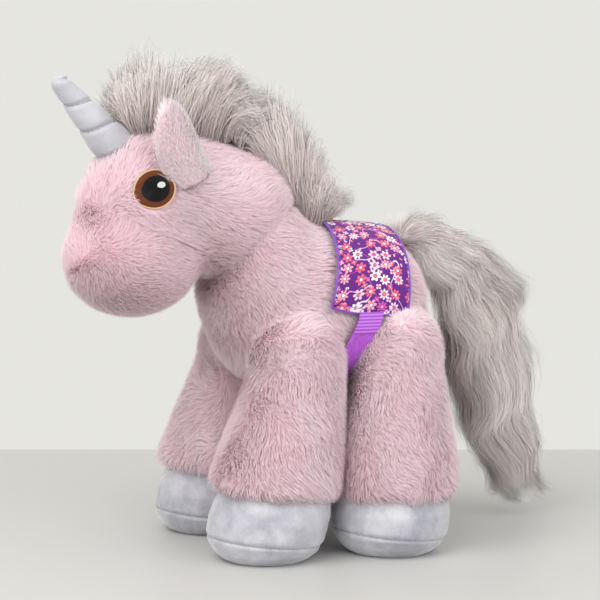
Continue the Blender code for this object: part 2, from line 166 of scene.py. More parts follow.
def ramp(material, factor, stops, stepped=False):
    """Colours along a factor, from stops of (position, colour); a stepped ramp jumps between them."""
    made = node(material, "ShaderNodeValToRGB", {0: factor})
    if stepped:
        made.color_ramp.interpolation = "CONSTANT"
    elements = made.color_ramp.elements
    while len(elements) < len(stops):
        elements.new(0.5)
    for element, (position, colour) in zip(elements, stops):
        element.position = position
        element.color = (*colour, 1)
    return made.outputs["Color"]


def vector(material, operation, first, second):
    """Adds or subtracts two vectors, or scales one by a number."""
    key = "Scale" if operation == "SCALE" else 1
    return node(material, "ShaderNodeVectorMath", {0: first, key: second}, operation=operation).outputs[0]


def cloud(material, place, scale, detail, roughness=0.5, dimensions="3D"):
    values = {"Vector": place, "Scale": scale, "Detail": detail, "Roughness": roughness}
    return node(material, "ShaderNodeTexNoise", values, noise_dimensions=dimensions)


def bands(material, place, scale, distortion, direction="X", detail=2.0):
    """Parallel waves across a direction, as a factor from 0 to 1."""
    values = {"Vector": place, "Scale": scale, "Distortion": distortion, "Detail": detail}
    return node(material, "ShaderNodeTexWave", values, bands_direction=direction).outputs["Fac"]


def own_place(material):
    return node(material, "ShaderNodeTexCoord").outputs["Object"]


def flat_place(material):
    return node(material, "ShaderNodeUVMap", uv_map="OFBake").outputs[0]


def mix(material, factor, first, second, blend="MIX"):
    made = node(material, "ShaderNodeMix", data_type="RGBA", blend_type=blend)
    for key, value in ((0, factor), (6, first), (7, second)):
        if isinstance(value, bpy.types.NodeSocket):
            material.node_tree.links.new(value, made.inputs[key])
        else:
            made.inputs[key].default_value = value if key == 0 else (*value, 1)
    return made.outputs[2]


def link(material, output, socket):
    material.node_tree.links.new(output, material.node_tree.nodes["Principled BSDF"].inputs[socket])


def bump(material, height, strength, distance):
    made = node(material, "ShaderNodeBump", {"Height": height, "Strength": strength, "Distance": distance})
    link(material, made.outputs[0], "Normal")


def fur_material(name, dark, light, roughness=0.75, sheen=0.35):
    """Strand colours: v runs from root to tip, darker at the root as painted shade deep in the pile, and u
    picks the strand's own tone between the dark and light ramps.
    """
    material = shader_of(name, roughness, Sheen_Weight=sheen, Sheen_Roughness=0.5, Specular_IOR_Level=0.25)
    parts = node(material, "ShaderNodeSeparateXYZ", {0: flat_place(material)})
    deep = ramp(material, parts.outputs[1], dark)
    pale = ramp(material, parts.outputs[1], light)
    link(material, mix(material, parts.outputs[0], deep, pale), "Base Color")
    return material


def skin_material(name, dark, light, scale):
    """The backing cloth between the strands: mottled, matt and rough."""
    material = shader_of(name, 0.95, Sheen_Weight=0.2)
    mottle = cloud(material, own_place(material), scale, 6.0).outputs["Fac"]
    link(material, ramp(material, mottle, [(0.3, dark), (0.7, light)]), "Base Color")
    bump(material, mottle, 0.6, 0.001)
    return material


# ---------------------------------------------------------------- smooth fields for stuffed shapes


def ball(centre, radii):
    """A signed distance, near enough, to an ellipsoid."""
    radii = np.array(radii, float) * MM
    centre = at(*centre)

    def field(p):
        q = (p - centre) / radii
        near = np.linalg.norm(q, axis=1)
        slope = np.linalg.norm(q / radii, axis=1) + 1e-9
        return near * (near - 1) / slope

    return field


def blend_fields(fields, softness):
    """The smooth union of fields, with fillets about as wide as softness."""

    def field(p):
        total = fields[0](p)
        for other in fields[1:]:
            d = other(p)
            h = np.clip(0.5 + 0.5 * (d - total) / (softness * MM), 0, 1)
            total = d * (1 - h) + total * h - softness * MM * h * (1 - h)
        return total

    return field


def gradient(field, p, step=2e-4):
    """A field's slope at points, by differences."""
    g = np.empty_like(p)
    for axis in range(3):
        move = np.zeros(3)
        move[axis] = step
        g[:, axis] = (field(p + move) - field(p - move)) / (2 * step)
    return g


def project(field, p, rounds):
    """Moves points onto a field's surface."""
    for _ in range(rounds):
        g = gradient(field, p)
        p = p - g * (field(p) / np.maximum((g**2).sum(1), 0.2))[:, None]
    return p


def unit(v):
    """Vectors of length 1 in the same directions."""
    return v / np.maximum(np.linalg.norm(v, axis=-1, keepdims=True), 1e-12)


# ---------------------------------------------------------------- meshes


def new_object(name, vertices, faces, material=None, smooth=True):
    mesh = bpy.data.meshes.new(name)
    mesh.from_pydata(np.asarray(vertices).tolist(), [], [list(map(int, f)) for f in faces])
    mesh.update()
    if smooth:
        mesh.shade_smooth()
    obj = bpy.data.objects.new(name, mesh)
    bpy.context.scene.collection.objects.link(obj)
    if material:
        mesh.materials.append(material)
    return obj


def points_of(obj):
    co = np.empty(len(obj.data.vertices) * 3, np.float32)
    obj.data.vertices.foreach_get("co", co)
    return co.reshape(-1, 3).astype(float)


def set_points(obj, points):
    obj.data.vertices.foreach_set("co", np.asarray(points, np.float32).ravel())
    obj.data.update()


def apply_modifiers(obj):
    graph = bpy.context.evaluated_depsgraph_get()
    mesh = bpy.data.meshes.new_from_object(obj.evaluated_get(graph))
    obj.modifiers.clear()
    old = obj.data
    obj.data = mesh
    bpy.data.meshes.remove(old)
    obj.data.shade_smooth()
    return obj


def add_ball(cage, centre, radii):
    size = Matrix.Translation(Vector(at(*centre))) @ Matrix.Diagonal((*(Vector(radii) * MM), 1))
    bmesh.ops.create_icosphere(cage, subdivisions=3, radius=1, matrix=size)


def remesh_modifier(obj, voxel):
    remesh = obj.modifiers.new("remesh", "REMESH")
    remesh.mode = "VOXEL"
    remesh.voxel_size = voxel * MM


def smooth_modifier(obj, iterations):
    obj.modifiers.new("smooth", "SMOOTH").iterations = iterations


def only_material(obj, material):
    obj.data.materials.clear()
    obj.data.materials.append(material)


def field_skin(name, field, seeds, voxel, material):
    """A closed skin on a field's surface: voxel-remeshed balls that are then drawn onto the field."""
    cage = bmesh.new()
    for centre, radii in seeds:
        add_ball(cage, centre, radii)
    mesh = bpy.data.meshes.new(name)
    cage.to_mesh(mesh)
    cage.free()
    obj = bpy.data.objects.new(name, mesh)
    bpy.context.scene.collection.objects.link(obj)
    remesh_modifier(obj, voxel)
    apply_modifiers(obj)
    set_points(obj, project(field, points_of(obj), rounds=8))
    smooth_modifier(obj, 3)
    apply_modifiers(obj)
    only_material(obj, material)
    return obj


def grid_faces(rows, columns, closed=False):
    """Quads of a grid; closed joins its last column to its first."""
    faces = []
    for i in range(rows - 1):
        for j in range(columns if closed else columns - 1):
            k = (j + 1) % columns
            faces.append((i * columns + j, i * columns + k, (i + 1) * columns + k, (i + 1) * columns + j))
    return faces


def ring_loft(name, rings, material, cap_first=True, cap_last=True):
    """A skin over rings of points, with a middle point closing each capped end."""
    rings = np.asarray(rings)
    rows, columns = rings.shape[:2]
    vertices = rings.reshape(-1, 3).tolist()
    faces = grid_faces(rows, columns, closed=True)
    for cap, row in ((cap_first, 0), (cap_last, rows - 1)):
        if cap:
            vertices.append(rings[row].mean(0).tolist())
            middle = len(vertices) - 1
            for j in range(columns):
                k = (j + 1) % columns
                a, b = row * columns + j, row * columns + k
                faces.append((middle, b, a) if row == 0 else (middle, a, b))
    obj = new_object(name, vertices, faces, material)
    shape = bmesh.new()
    shape.from_mesh(obj.data)
    bmesh.ops.recalc_face_normals(shape, faces=shape.faces)
    shape.to_mesh(obj.data)
    shape.free()
    return obj


# ---------------------------------------------------------------- strands


def wave_field(p, size, seed, waves=7):
    """A smooth pseudo-random vector for each point that changes over about size, in metres."""
    source = np.random.default_rng(seed)
    total = np.zeros((len(p), 3))
    for _ in range(waves):
        direction = unit(source.normal(size=3)) * source.uniform(0.6, 1.6) / size
        phase = source.uniform(0, math.tau)
        total += np.sin(p @ direction * math.pi + phase)[:, None] * source.normal(size=3)
    return total / math.sqrt(waves)


def scatter(obj, per_mm2, keep=None):
    """Random points on a mesh's faces with their smooth normals: (points, normals)."""
    mesh = obj.data
    mesh.calc_loop_triangles()
    tri = np.empty(len(mesh.loop_triangles) * 3, np.int32)
    mesh.loop_triangles.foreach_get("vertices", tri)
    tri = tri.reshape(-1, 3)
    co = points_of(obj)
    normal = np.empty(len(co) * 3, np.float32)
    mesh.vertices.foreach_get("normal", normal)
    normal = normal.reshape(-1, 3)
    a, b, c = co[tri[:, 0]], co[tri[:, 1]], co[tri[:, 2]]
    area = 0.5 * np.linalg.norm(np.cross(b - a, c - a), axis=1)
    count = int(area.sum() * 1e6 * per_mm2)
    pick = np.searchsorted(np.cumsum(area) / area.sum(), rng.random(count))
    pick = np.minimum(pick, len(tri) - 1)
    u, v = rng.random(count), rng.random(count)
    over = u + v > 1
    u[over], v[over] = 1 - u[over], 1 - v[over]
    w = np.stack((1 - u - v, u, v), 1)[:, :, None]
    p = (co[tri[pick]] * w).sum(1)
    n = unit((normal[tri[pick]] * w).sum(1))
    if keep is not None:
        wanted = keep(p, n)
        p, n = p[wanted], n[wanted]
    return p, n


def ribbons(name, paths, widths, sides, shade, normals, material, body):
    """A tapering strand along each path, roof-shaped across and lit as part of a soft surface.

    The surface faces along normals.

    paths and normals are (count, points, 3), widths (count, points) and shade (count).
    """
    count, points = paths.shape[:2]
    half = sides * widths[..., None] * 0.5
    along = np.diff(paths, axis=1, append=paths[:, -1:] * 2 - paths[:, -2:-1])
    ridge = unit(np.cross(sides, along)) * widths[..., None] * 0.4
    vertices = np.stack((paths - half, paths + ridge, paths + half), 2).reshape(-1, 3)
    mesh = bpy.data.meshes.new(name)
    mesh.vertices.add(len(vertices))
    mesh.vertices.foreach_set("co", vertices.astype(np.float32).ravel())
    base = (np.arange(count) * points * 3)[:, None] + (np.arange(points - 1) * 3)[None, :]
    base = np.stack((base, base + 1), -1)
    quads = np.stack((base, base + 1, base + 4, base + 3), -1).reshape(-1, 4)
    mesh.loops.add(quads.size)
    mesh.loops.foreach_set("vertex_index", quads.astype(np.int32).ravel())
    mesh.polygons.add(len(quads))
    mesh.polygons.foreach_set("loop_start", (np.arange(len(quads)) * 4).astype(np.int32))
    layer = mesh.uv_layers.new(name="OFBake")
    along = np.linspace(0.02, 0.98, points)
    v = np.broadcast_to(along[None, :], (count, points))
    u = np.broadcast_to(np.clip(shade, 0.01, 0.99)[:, None], (count, points))
    corner = np.stack((u, v), -1)[:, :, None, :].repeat(3, 2).reshape(-1, 2)
    layer.data.foreach_set("uv", corner[quads.ravel()].astype(np.float32).ravel())
    mesh.update(calc_edges=True)
    mesh.shade_smooth()
    soft = mesh.attributes.new("custom_normal", "FLOAT_VECTOR", "POINT")
    facing = np.broadcast_to(unit(normals)[:, :, None, :], (count, points, 3, 3)).reshape(-1, 3)
    soft.data.foreach_set("vector", facing.astype(np.float32).ravel())
    mesh.materials.append(material)
    obj = bpy.data.objects.new(name, mesh)
    bpy.context.scene.collection.objects.link(obj)
    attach(obj, body)
    return obj


def tree_of(points):
    tree = kdtree.KDTree(len(points))
    for i, point in enumerate(points):
        tree.insert(point, i)
    tree.balance()
    return tree


def nearest(points, centres):
    """The number of the centre nearest to each point."""
    tree = tree_of(centres)
    return np.array([tree.find(p)[1] for p in points])


def within(points, cores, reach):
    """Which points lie within reach of any of the cores."""
    tree = tree_of(cores)
    return np.array([tree.find(p)[2] < reach for p in points])


def pile(name, skin, material, body, length, comb, per_mm2=2.7, keep=None, lean=(24, 62),
         width=0.35, clump_area=30.0, clumping=0.13, ruffle=0.46, ruffle_size=17, segments=2, seed=1):
    """Short fur on a skin: each strand leans along comb(points, normals), ruffled and gathered in tufts."""
    roots, normals = scatter(skin, per_mm2 * DENSITY, keep)
    tufts = rng.choice(len(roots), max(8, int(len(roots) / (per_mm2 * DENSITY * clump_area))), replace=False)

    def grow(p, n, longer):
        flow = comb(p, n) + ruffle * wave_field(p, ruffle_size * MM, seed)
        flow = flow - n * (flow * n).sum(1)[:, None]
        flow = unit(flow)
        size = length(p, n) * longer
        path = [p - n * 0.4 * MM]
        for k in range(segments):
            angle = np.radians(lean[0] + (lean[1] - lean[0]) * (k / max(1, segments - 1)))
            path.append(path[-1] + (n * np.cos(angle) + flow * np.sin(angle)) * (size / segments)[:, None])
        return np.stack(path, 1)

    mine = grow(roots, normals, rng.uniform(0.72, 1.18, len(roots)))
    group = nearest(roots, roots[tufts])
    leaders = grow(roots[tufts], normals[tufts], np.full(len(tufts), 1.08))
    pull = clumping * np.linspace(0, 1, segments + 1) ** 1.4
    paths = mine + (leaders[group] - mine) * pull[None, :, None] * rng.uniform(0.4, 1.0, (len(roots), 1, 1))
    grown = np.linspace(0.4, 1, segments)[None, :, None]
    paths[:, 1:] += rng.normal(0, 0.22 * MM, (len(roots), segments, 3)) * grown
    whole = unit(paths[:, -1] - paths[:, 0])
    side = unit(unit(np.cross(whole, normals)) + 0.2 * rng.normal(size=(len(roots), 3)))
    side = np.repeat(side[:, None, :], segments + 1, axis=1)
    taper = np.linspace(1, 0.12, segments + 1)
    widths = width * MM * taper[None, :] * rng.uniform(0.7, 1.3, (len(roots), 1))
    tuft_shade = rng.normal(0, 0.05, len(tufts))[group]
    patch = 0.22 * wave_field(roots, 22 * MM, seed + 50)[:, 0]
    shade = 0.5 + tuft_shade + patch + rng.normal(0, 0.10, len(roots))
    lit = normals[:, None, :] + 0.10 * side + 0.12 * rng.normal(size=(len(roots), 1, 3))
    lit = np.repeat(lit[:, :1], segments + 1, axis=1)
    return ribbons(name, paths, widths, side, shade, lit, material, body)


# ---------------------------------------------------------------- the toy's own shapes

FUR_DEPTH = 4.5
SKULL = ((0, -93.5, 213), (36, 37, 34))
NAPE = ((0, -71, 209), (33, 33, 35))
BROW = ((0, -103.5, 199), (33.5, 35.5, 29))
MUZZLE = ((0, -107.5, 172.5), (37, 38, 31))
NECK_PIVOT = (0, -47, 196)
NECK_AIM = unit(np.array((0, -0.77, 0.638)))
FRONT_HIP = (41, -19, 112)
FRONT_HOOF = (45, -41.6, 15)
REAR_HIP = (50, 40, 112)
REAR_HOOF = (55, 33.7, 15)
EYE = np.array((34.4, -104.6, 214.7))
EYE_TURN = math.radians(17)
EYE_OUT = np.array((math.cos(EYE_TURN), -math.sin(EYE_TURN), 0))

# Torso sections from the tail to the neck: (top y, top z, bottom y, bottom z, half width)
TORSO = np.array(
    [
        (72, 153, 72, 137, 9),
        (66, 171, 68, 112, 34),
        (54, 183, 56, 98, 48),
        (34, 188, 34, 90, 53),
        (14, 190, 10, 88, 53),
        (-1, 195, -18, 91, 51),
        (-11, 206, -42, 102, 48),
        (-18, 215, -56, 124, 43),
        (-22, 220, -63, 149, 38),
    ],
    float,
)


def curve_at(rows, place):
    """A smooth curve through rows of numbers: place counts rows from the first, and may be an array."""
    place = np.clip(np.asarray(place, float), 0, len(rows) - 1)
    i = np.minimum(place.astype(int), len(rows) - 2)
    t = (place - i)[..., None]
    rows = np.asarray(rows, float)
    a, b, c, d = (rows[np.clip(i + k, 0, len(rows) - 1)] for k in (-1, 0, 1, 2))
    return 0.5 * (2 * b + (c - a) * t + (2 * a - 5 * b + 4 * c - d) * t**2 + (3 * b - 3 * c + d - a) * t**3)


def section_points(rows, place, angle, outwards=0.0):
    """Points round sections of a row list, at an angle from each section's top, in metres in the frame."""
    section = curve_at(rows, place)
    top, bottom = section[..., 0:2], section[..., 2:4]
    up = (top - bottom) / 2
    up = up * (1 + outwards / np.maximum(np.linalg.norm(up, axis=-1, keepdims=True), 1e-6))
    centre = (top + bottom) / 2
    x = (section[..., 4] + outwards) * np.sin(angle)
    yz = centre + up * np.cos(angle)[..., None]
    return np.concatenate((x[..., None], yz), -1) * MM + ORIGIN


def torso_points(place, angle, outwards):
    return section_points(TORSO, place, angle, outwards)


def head_field():
    inset = FUR_DEPTH - 1.5
    parts = [ball(centre, np.array(radii) - inset) for centre, radii in (SKULL, NAPE, BROW)]
    parts.append(ball(NECK_PIVOT, (36, 36, 36)))
    muzzle = ball(MUZZLE[0], np.array(MUZZLE[1]) - 1.2)
    return blend_fields([blend_fields(parts, 12), muzzle], 13)


# ---------------------------------------------------------------- stuffing by cloth simulation


def stuffed(obj, pins=None, pressure=4.0, most=2.0, frames=20):
    """Puffs a closed skin with a short cloth simulation, where pins(points) says how firmly each is held."""
    rest = points_of(obj)
    group = obj.vertex_groups.new(name="held")
    hold = pins(rest) if pins else np.zeros(len(rest))
    for i, weight in enumerate(np.clip(hold, 0, 1)):
        group.add([i], float(weight), "REPLACE")
    cloth = obj.modifiers.new("cloth", "CLOTH")
    settings = cloth.settings
    settings.quality = 4
    settings.mass = 0.2
    settings.tension_stiffness = 12
    settings.compression_stiffness = 12
    settings.bending_stiffness = 0.6
    settings.use_pressure = True
    settings.uniform_pressure_force = pressure
    settings.effector_weights.gravity = 0
    settings.vertex_group_mass = "held"
    scene = bpy.context.scene
    cloth.point_cache.frame_start = 1
    cloth.point_cache.frame_end = frames
    for number in range(1, frames + 1):
        scene.frame_set(number)
    apply_modifiers(obj)
    scene.frame_set(1)
    move = points_of(obj) - rest
    size = np.linalg.norm(move, axis=1, keepdims=True)
    limit = most * MM
    set_points(obj, rest + move * np.minimum(1, limit / np.maximum(size, 1e-9)))
    return obj


# ---------------------------------------------------------------- the fur-covered skins and their pile


# Stops from root to tip: the deep root colour is painted shade down in the pile, and the pale tip is the
# fibre's own colour.
def painted_root_shade_stops(deep, pale):
    return [(0.0, deep), (0.45, tuple(0.5 * (a + b) for a, b in zip(deep, pale))), (1.0, pale)]


PINK_FUR = fur_material(
    "pink_pile",
    painted_root_shade_stops((0.92, 0.59, 0.68), (0.965, 0.715, 0.80)),
    painted_root_shade_stops((0.97, 0.70, 0.78), (0.999, 0.865, 0.92)),
)
MUZZLE_FUR = fur_material(
    "muzzle_pile",
    painted_root_shade_stops((0.88, 0.56, 0.645), (0.94, 0.68, 0.765)),
    painted_root_shade_stops((0.93, 0.64, 0.725), (0.99, 0.81, 0.875)),
)
EAR_FUR = fur_material(
    "ear_pile",
    painted_root_shade_stops((0.95, 0.76, 0.81), (0.985, 0.88, 0.91)),
    painted_root_shade_stops((0.98, 0.86, 0.89), (0.998, 0.95, 0.965)),
)
LINING_FUR = fur_material(
    "ear_lining_pile",
    painted_root_shade_stops((0.62, 0.52, 0.54), (0.80, 0.73, 0.75)),
    painted_root_shade_stops((0.72, 0.64, 0.66), (0.90, 0.85, 0.87)),
)
# The taupe pile's darker roots are painted shade down in the hair; the paler tips are the fibre's own
# colour.
HAIR_FUR = fur_material(
    "taupe_pile",
    [(0.0, (0.43, 0.34, 0.33)), (0.5, (0.67, 0.565, 0.55)), (1.0, (0.91, 0.85, 0.83))],
    [(0.0, (0.57, 0.47, 0.455)), (0.5, (0.85, 0.76, 0.74)), (1.0, (0.985, 0.955, 0.94))],
    roughness=0.6,
    sheen=0.3,
)
PINK_SKIN = skin_material("pink_backing", (0.86, 0.57, 0.66), (0.93, 0.68, 0.76), 260)
MUZZLE_SKIN = skin_material("muzzle_backing", (0.84, 0.52, 0.60), (0.90, 0.62, 0.70), 260)
HAIR_SKIN = skin_material("taupe_backing", (0.60, 0.53, 0.51), (0.72, 0.64, 0.62), 200)


def in_mm(points):
    return (points - ORIGIN) / MM


def at_muzzle(points):
    """How far points lie in front of and below the seam that joins the muzzle to the head, in mm."""
    p = in_mm(points)
    slope = math.tan(math.radians(24.7))
    return (199 - slope * (p[:, 1] + 121)) - p[:, 2]


def combed(direction, lift=0.0):
    """A comb that draws every strand towards one direction."""
    aim = unit(np.array(direction, float))

    def comb(points, normals):
        return np.broadcast_to(aim, points.shape) + normals * lift

    return comb


def comb_body(points, normals):
    """Back and down over the body, and gathered towards the crease where each front leg leaves it."""
    p = in_mm(points)
    flow = np.tile(np.array((0, 0.75, -0.65)), (len(p), 1))
    side = np.sign(p[:, 0:1])
    crease = np.concatenate((side * 52, np.full((len(p), 1), -30.0), np.full((len(p), 1), 112.0)), 1)
    away = crease - p
    near = np.exp(-((np.linalg.norm(away, axis=1) / 26) ** 2))[:, None]
    return flow * (1 - near) + unit(away) * near * 1.3


def comb_head(points, normals):
    """Up and down the front of the face from the nose, and back over the cheeks and the jaw."""
    front = np.clip(-normals[:, 1:2] - 0.2, 0, 1)
    rise = np.clip((in_mm(points)[:, 2:3] - 171) / 8, -0.8, 1)
    return np.array((0, 0.85, -0.12)) + front * rise * np.array((0, 0, 1.15))


def clear_of_eyes(points, radius=12.4):
    """Which points lie outside the embroidery of both eyes."""
    p = in_mm(points)
    free = np.ones(len(p), bool)
    for sign in (1, -1):
        centre = EYE * np.array((sign, 1, 1))
        free &= np.linalg.norm(p - centre, axis=1) > radius
    return free


def build_torso():
    """The body cover: lofted sections with a bulge at each hip and at the neck, stuffed."""
    rows, around = 56, 64
    place = np.linspace(0, 8, rows)
    angle = np.linspace(0, math.tau, around, endpoint=False)
    points = torso_points(np.repeat(place, around), np.tile(angle, rows), -FUR_DEPTH + 0.5)
    body = ring_loft("body_skin", points.reshape(rows, around, 3), PINK_SKIN)
    cage = bmesh.new()
    cage.from_mesh(body.data)
    bulges = [(NECK_PIVOT, (31, 31, 31))]
    for side in (1, -1):
        bulges += [((side * 40, -20, 114), (25.5, 26, 27)), ((side * 47, 44, 115), (25, 22, 30))]
    for centre, radii in bulges:
        add_ball(cage, centre, radii)
    cage.to_mesh(body.data)
    cage.free()
    remesh_modifier(body, 4)
    smooth_modifier(body, 12)
    apply_modifiers(body)
    only_material(body, PINK_SKIN)
    stuffed(body, pins=lambda p: np.full(len(p), 0.25), most=1.5)
    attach(body, "torso")
    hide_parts("body_cover", "body_stuffing", "neck_stuffing")
    return body


def build_head():
    """The head cover, with the muzzle panel in its own cloth below its seam."""
    seeds = [
        (SKULL[0], (30, 31, 28)),
        (NAPE[0], (27, 27, 29)),
        (MUZZLE[0], (33, 34, 26)),
        (BROW[0], (27, 28, 22)),
        (NECK_PIVOT, (34, 34, 34)),
    ]
    head = field_skin("head_skin", head_field(), seeds, 3.5, PINK_SKIN)
    head.data.materials.append(MUZZLE_SKIN)
    middles = np.array([polygon.center for polygon in head.data.polygons])
    lower = at_muzzle(middles) > 0
    head.data.polygons.foreach_set("material_index", lower.astype(np.int32))
    stuffed(head, pins=lambda p: np.where(np.abs(at_muzzle(p)) < 3, 1.0, 0.25), most=1.5)
    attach(head, "head")
    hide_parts("head_cover", "muzzle_panel", "head_stuffing")
    return head


# Each leg: (hip, hoof, radius of the domed top), on the left side
LEGS = {
    "front_left": (FRONT_HIP, FRONT_HOOF, 24.0),
    "front_right": (FRONT_HIP, FRONT_HOOF, 24.0),
    "rear_left": (REAR_HIP, REAR_HOOF, 22.0),
    "rear_right": (REAR_HIP, REAR_HOOF, 22.0),
}


def leg_ends(name):
    """A leg's hip, its hoof and the radius of its domed top."""
    hip, hoof, dome = LEGS[name]
    flip = np.array((-1 if name.endswith("right") else 1, 1, 1))
    return np.array(hip) * flip, np.array(hoof) * flip, dome


def leg_axis(name, z):
    """The middle of a leg at a height."""
    hip, hoof, _ = leg_ends(name)
    share = (hip[2] - np.asarray(z, float)) / (hip[2] - hoof[2])
    return hip + (hoof - hip) * share[..., None]


def build_leg(name):
    """A leg cover from its dome in the body to the hem that bulges over the hoof."""
    hip, _, high = leg_ends(name)
    around = 56
    # Heights and radii: the domed top in the body, down the leg, over the bulging hem and back inside it
    dome = np.radians(np.linspace(88, 8, 9))
    heights = list(hip[2] + high * np.sin(dome)) + [100, 86, 72, 60, 52, 46, 42.5, 40.5, 41.5]
    radii = list(high * np.cos(dome)) + [25.8, 28.4, 31.4, 33.6, 34.6, 35.2, 34.6, 32.6, 30.5]
    heights, radii = np.array(heights), np.array(radii)
    angle = np.linspace(0, math.tau, around, endpoint=False)
    middle = leg_axis(name, heights)
    middle[: len(dome)] = hip
    middle[: len(dome), 2] = heights[: len(dome)]
    hem = np.clip((60 - heights) / 20, 0, 1)
    spread = np.stack((np.sin(angle), -np.cos(angle), np.zeros(around)), -1)
    rings = middle[:, None, :] + radii[:, None, None] * spread[None]
    if name.startswith("front"):
        tilt = 3.5 * np.cos(angle)[None, :] * hem[:, None]
    else:
        tilt = np.full((1, around), -5.0) * hem[:, None]
    rings[..., 2] += tilt
    leg = ring_loft(f"{name}_leg_skin", rings * MM + ORIGIN, PINK_SKIN, cap_last=True)
    smooth = leg.modifiers.new("round", "SUBSURF")
    smooth.levels = smooth.render_levels = 1
    apply_modifiers(leg)
    stuffed(leg, pins=lambda p: np.where(in_mm(p)[:, 2] < 50, 1.0, 0.3), most=1.2)
    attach(leg, f"{name}_leg")
    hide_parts(f"{name}_leg_cover", f"{name}_leg_stuffing")
    return leg


def evenly(size):
    """A pile of one length, in mm."""
    return lambda points, normals: np.full(len(points), size * MM)


def build_fur(body, head, legs):
    """The pile of the body, the head, the muzzle panel and the legs."""
    def body_keep(p, n):
        q = in_mm(p)
        inside_head = np.linalg.norm(q - np.array(NECK_PIVOT), axis=1) < 35
        return ~inside_head & ~under_saddle(q)

    def body_length(p, n):
        """Shorter at the top of each rear hip, where the cover turns sharply under the saddle cloth."""
        q = in_mm(p)
        corner = np.minimum(*(np.linalg.norm(q - np.array((s * 50, 43, 141)), axis=1) for s in (1, -1)))
        return 7.0 * MM * np.clip(corner / 17, 0.3, 1)

    pile("body_fur", body, PINK_FUR, "torso", body_length, comb_body, keep=body_keep, seed=3)

    def head_keep(p, n):
        q = in_mm(p)
        inside_neck = (q - np.array(NECK_PIVOT)) @ NECK_AIM < -15
        return (at_muzzle(p) <= 0) & clear_of_eyes(p) & ~inside_neck

    def head_length(p, n):
        q = in_mm(p)
        eye = np.minimum(*(np.linalg.norm(q - EYE * np.array((s, 1, 1)), axis=1) for s in (1, -1)))
        return (4.8 + 2.8 * np.clip((eye - 14) / 14, 0, 1)) * MM

    pile("head_fur", head, PINK_FUR, "head", head_length, comb_head, keep=head_keep, seed=4)
    pile(
        "muzzle_fur", head, MUZZLE_FUR, "head", evenly(5.6), comb_head,
        keep=lambda p, n: at_muzzle(p) > 0, per_mm2=3.0, lean=(20, 60), clump_area=12, seed=5,
    )
    for number, (name, leg) in enumerate(legs.items()):
        high = leg_ends(name)[0][2]

        def leg_length(p, n, high=high):
            return 7.2 * MM * np.clip((high + 22 - in_mm(p)[:, 2]) / 14, 0.35, 1)

        def leg_keep(p, n, high=high):
            return in_mm(p)[:, 2] < high + 17

        pile(
            f"{name}_leg_fur", leg, PINK_FUR, f"{name}_leg", leg_length,
            combed((-0.5 if name.endswith("right") else 0.5, 0.3, -1)),
            keep=leg_keep, seed=11 + number,
        )


# ---------------------------------------------------------------- saddle cloth and girth

SADDLE_FRONT, SADDLE_REAR, SADDLE_SLANT = 4.25, 2.0, 0.55
SADDLE_EDGE = math.radians(86)
BODY_MIDDLE = np.array((0, 20, 135))
STRAP_WIDTH = 15.0
FOLD_ROWS = 7
PRINT_SPAN = 180.0
PRINT_GROUND = (0.115, 0.013, 0.22)
FLOWER_SCATTER = 0.36
# Thin stems: (noise scale, detail, level that the line follows, half width, colour)
STEMS = (
    (0.05, 1.0, 0.5, 0.011, (0.78, 0.62, 0.76)),
    (0.075, 0.0, 0.44, 0.010, (0.62, 0.10, 0.36)),
)
# Flowers and dots: (size, spacing in mm, petals, offset in mm, random values between which they show)
FLOWERS = (
    (0.26, 4.3, 2.0, 11.0, 0.0, 0.30),
    (0.24, 8.4, 4.0, 4.2, 0.0, 0.62),
    (0.42, 8.4, 8.0, 0.0, 0.0, 0.42),
    (0.43, 8.4, 6.0, 0.0, 0.42, 0.90),
)
FLOWER_TONES = [
    (0.0, (0.86, 0.13, 0.17)),
    (0.27, (0.90, 0.34, 0.42)),
    (0.42, (0.88, 0.62, 0.72)),
    (0.66, (0.90, 0.84, 0.87)),
    (0.92, (0.60, 0.08, 0.40)),
]


def saddle_points(share, angle, outwards):
    """The cloth's surface: share runs from its front edge to its rear edge, angle from flap to flap."""
    along = SADDLE_FRONT + (SADDLE_REAR - SADDLE_FRONT) * share
    lift = outwards + 3.0 * share**2 * np.cos(angle) ** 2
    hang = angle * (1 + 0.05 * share)
    return torso_points_lifted(along + SADDLE_SLANT * (1 - np.cos(angle)), hang, lift)


def torso_points_lifted(place, angle, outwards):
    """Torso points with their own distance from the surface for each point."""
    near = torso_points(place, angle, 0.0)
    return near + (torso_points(place, angle, 1.0) - near) * np.asarray(outwards)[..., None]


def girth_place(angle):
    """Where the girth's middle line lies along the torso at an angle from its top."""
    return 3.65 + (4.1 - 3.65) * np.clip(-np.cos(angle) * 2, 0, 1)


def under_girth(q):
    """Which points, in mm, the strap covers, so that no pile pierces it."""
    angle = np.linspace(math.radians(86), math.radians(274), 90)
    return within(q, in_mm(torso_points(girth_place(angle), angle, -2.0)), 6.5)


def under_saddle(q):
    """Which points, in mm, the saddle cloth or the strap covers."""
    edge = SADDLE_EDGE * 0.93
    share, angle = np.meshgrid(np.linspace(0.1, 0.9, 9), np.linspace(-edge, edge, 40))
    return within(q, in_mm(saddle_points(share.ravel(), angle.ravel(), -2.0)), 5.5) | under_girth(q)


def below(material, value, edge, soft=0.04):
    """1 where value is under edge, falling to 0 over soft."""
    start = calculate(material, "SUBTRACT", edge, soft)
    return node(material, "ShaderNodeMapRange", {0: value, 1: start, 2: edge, 3: 1.0, 4: 0.0}).outputs[0]


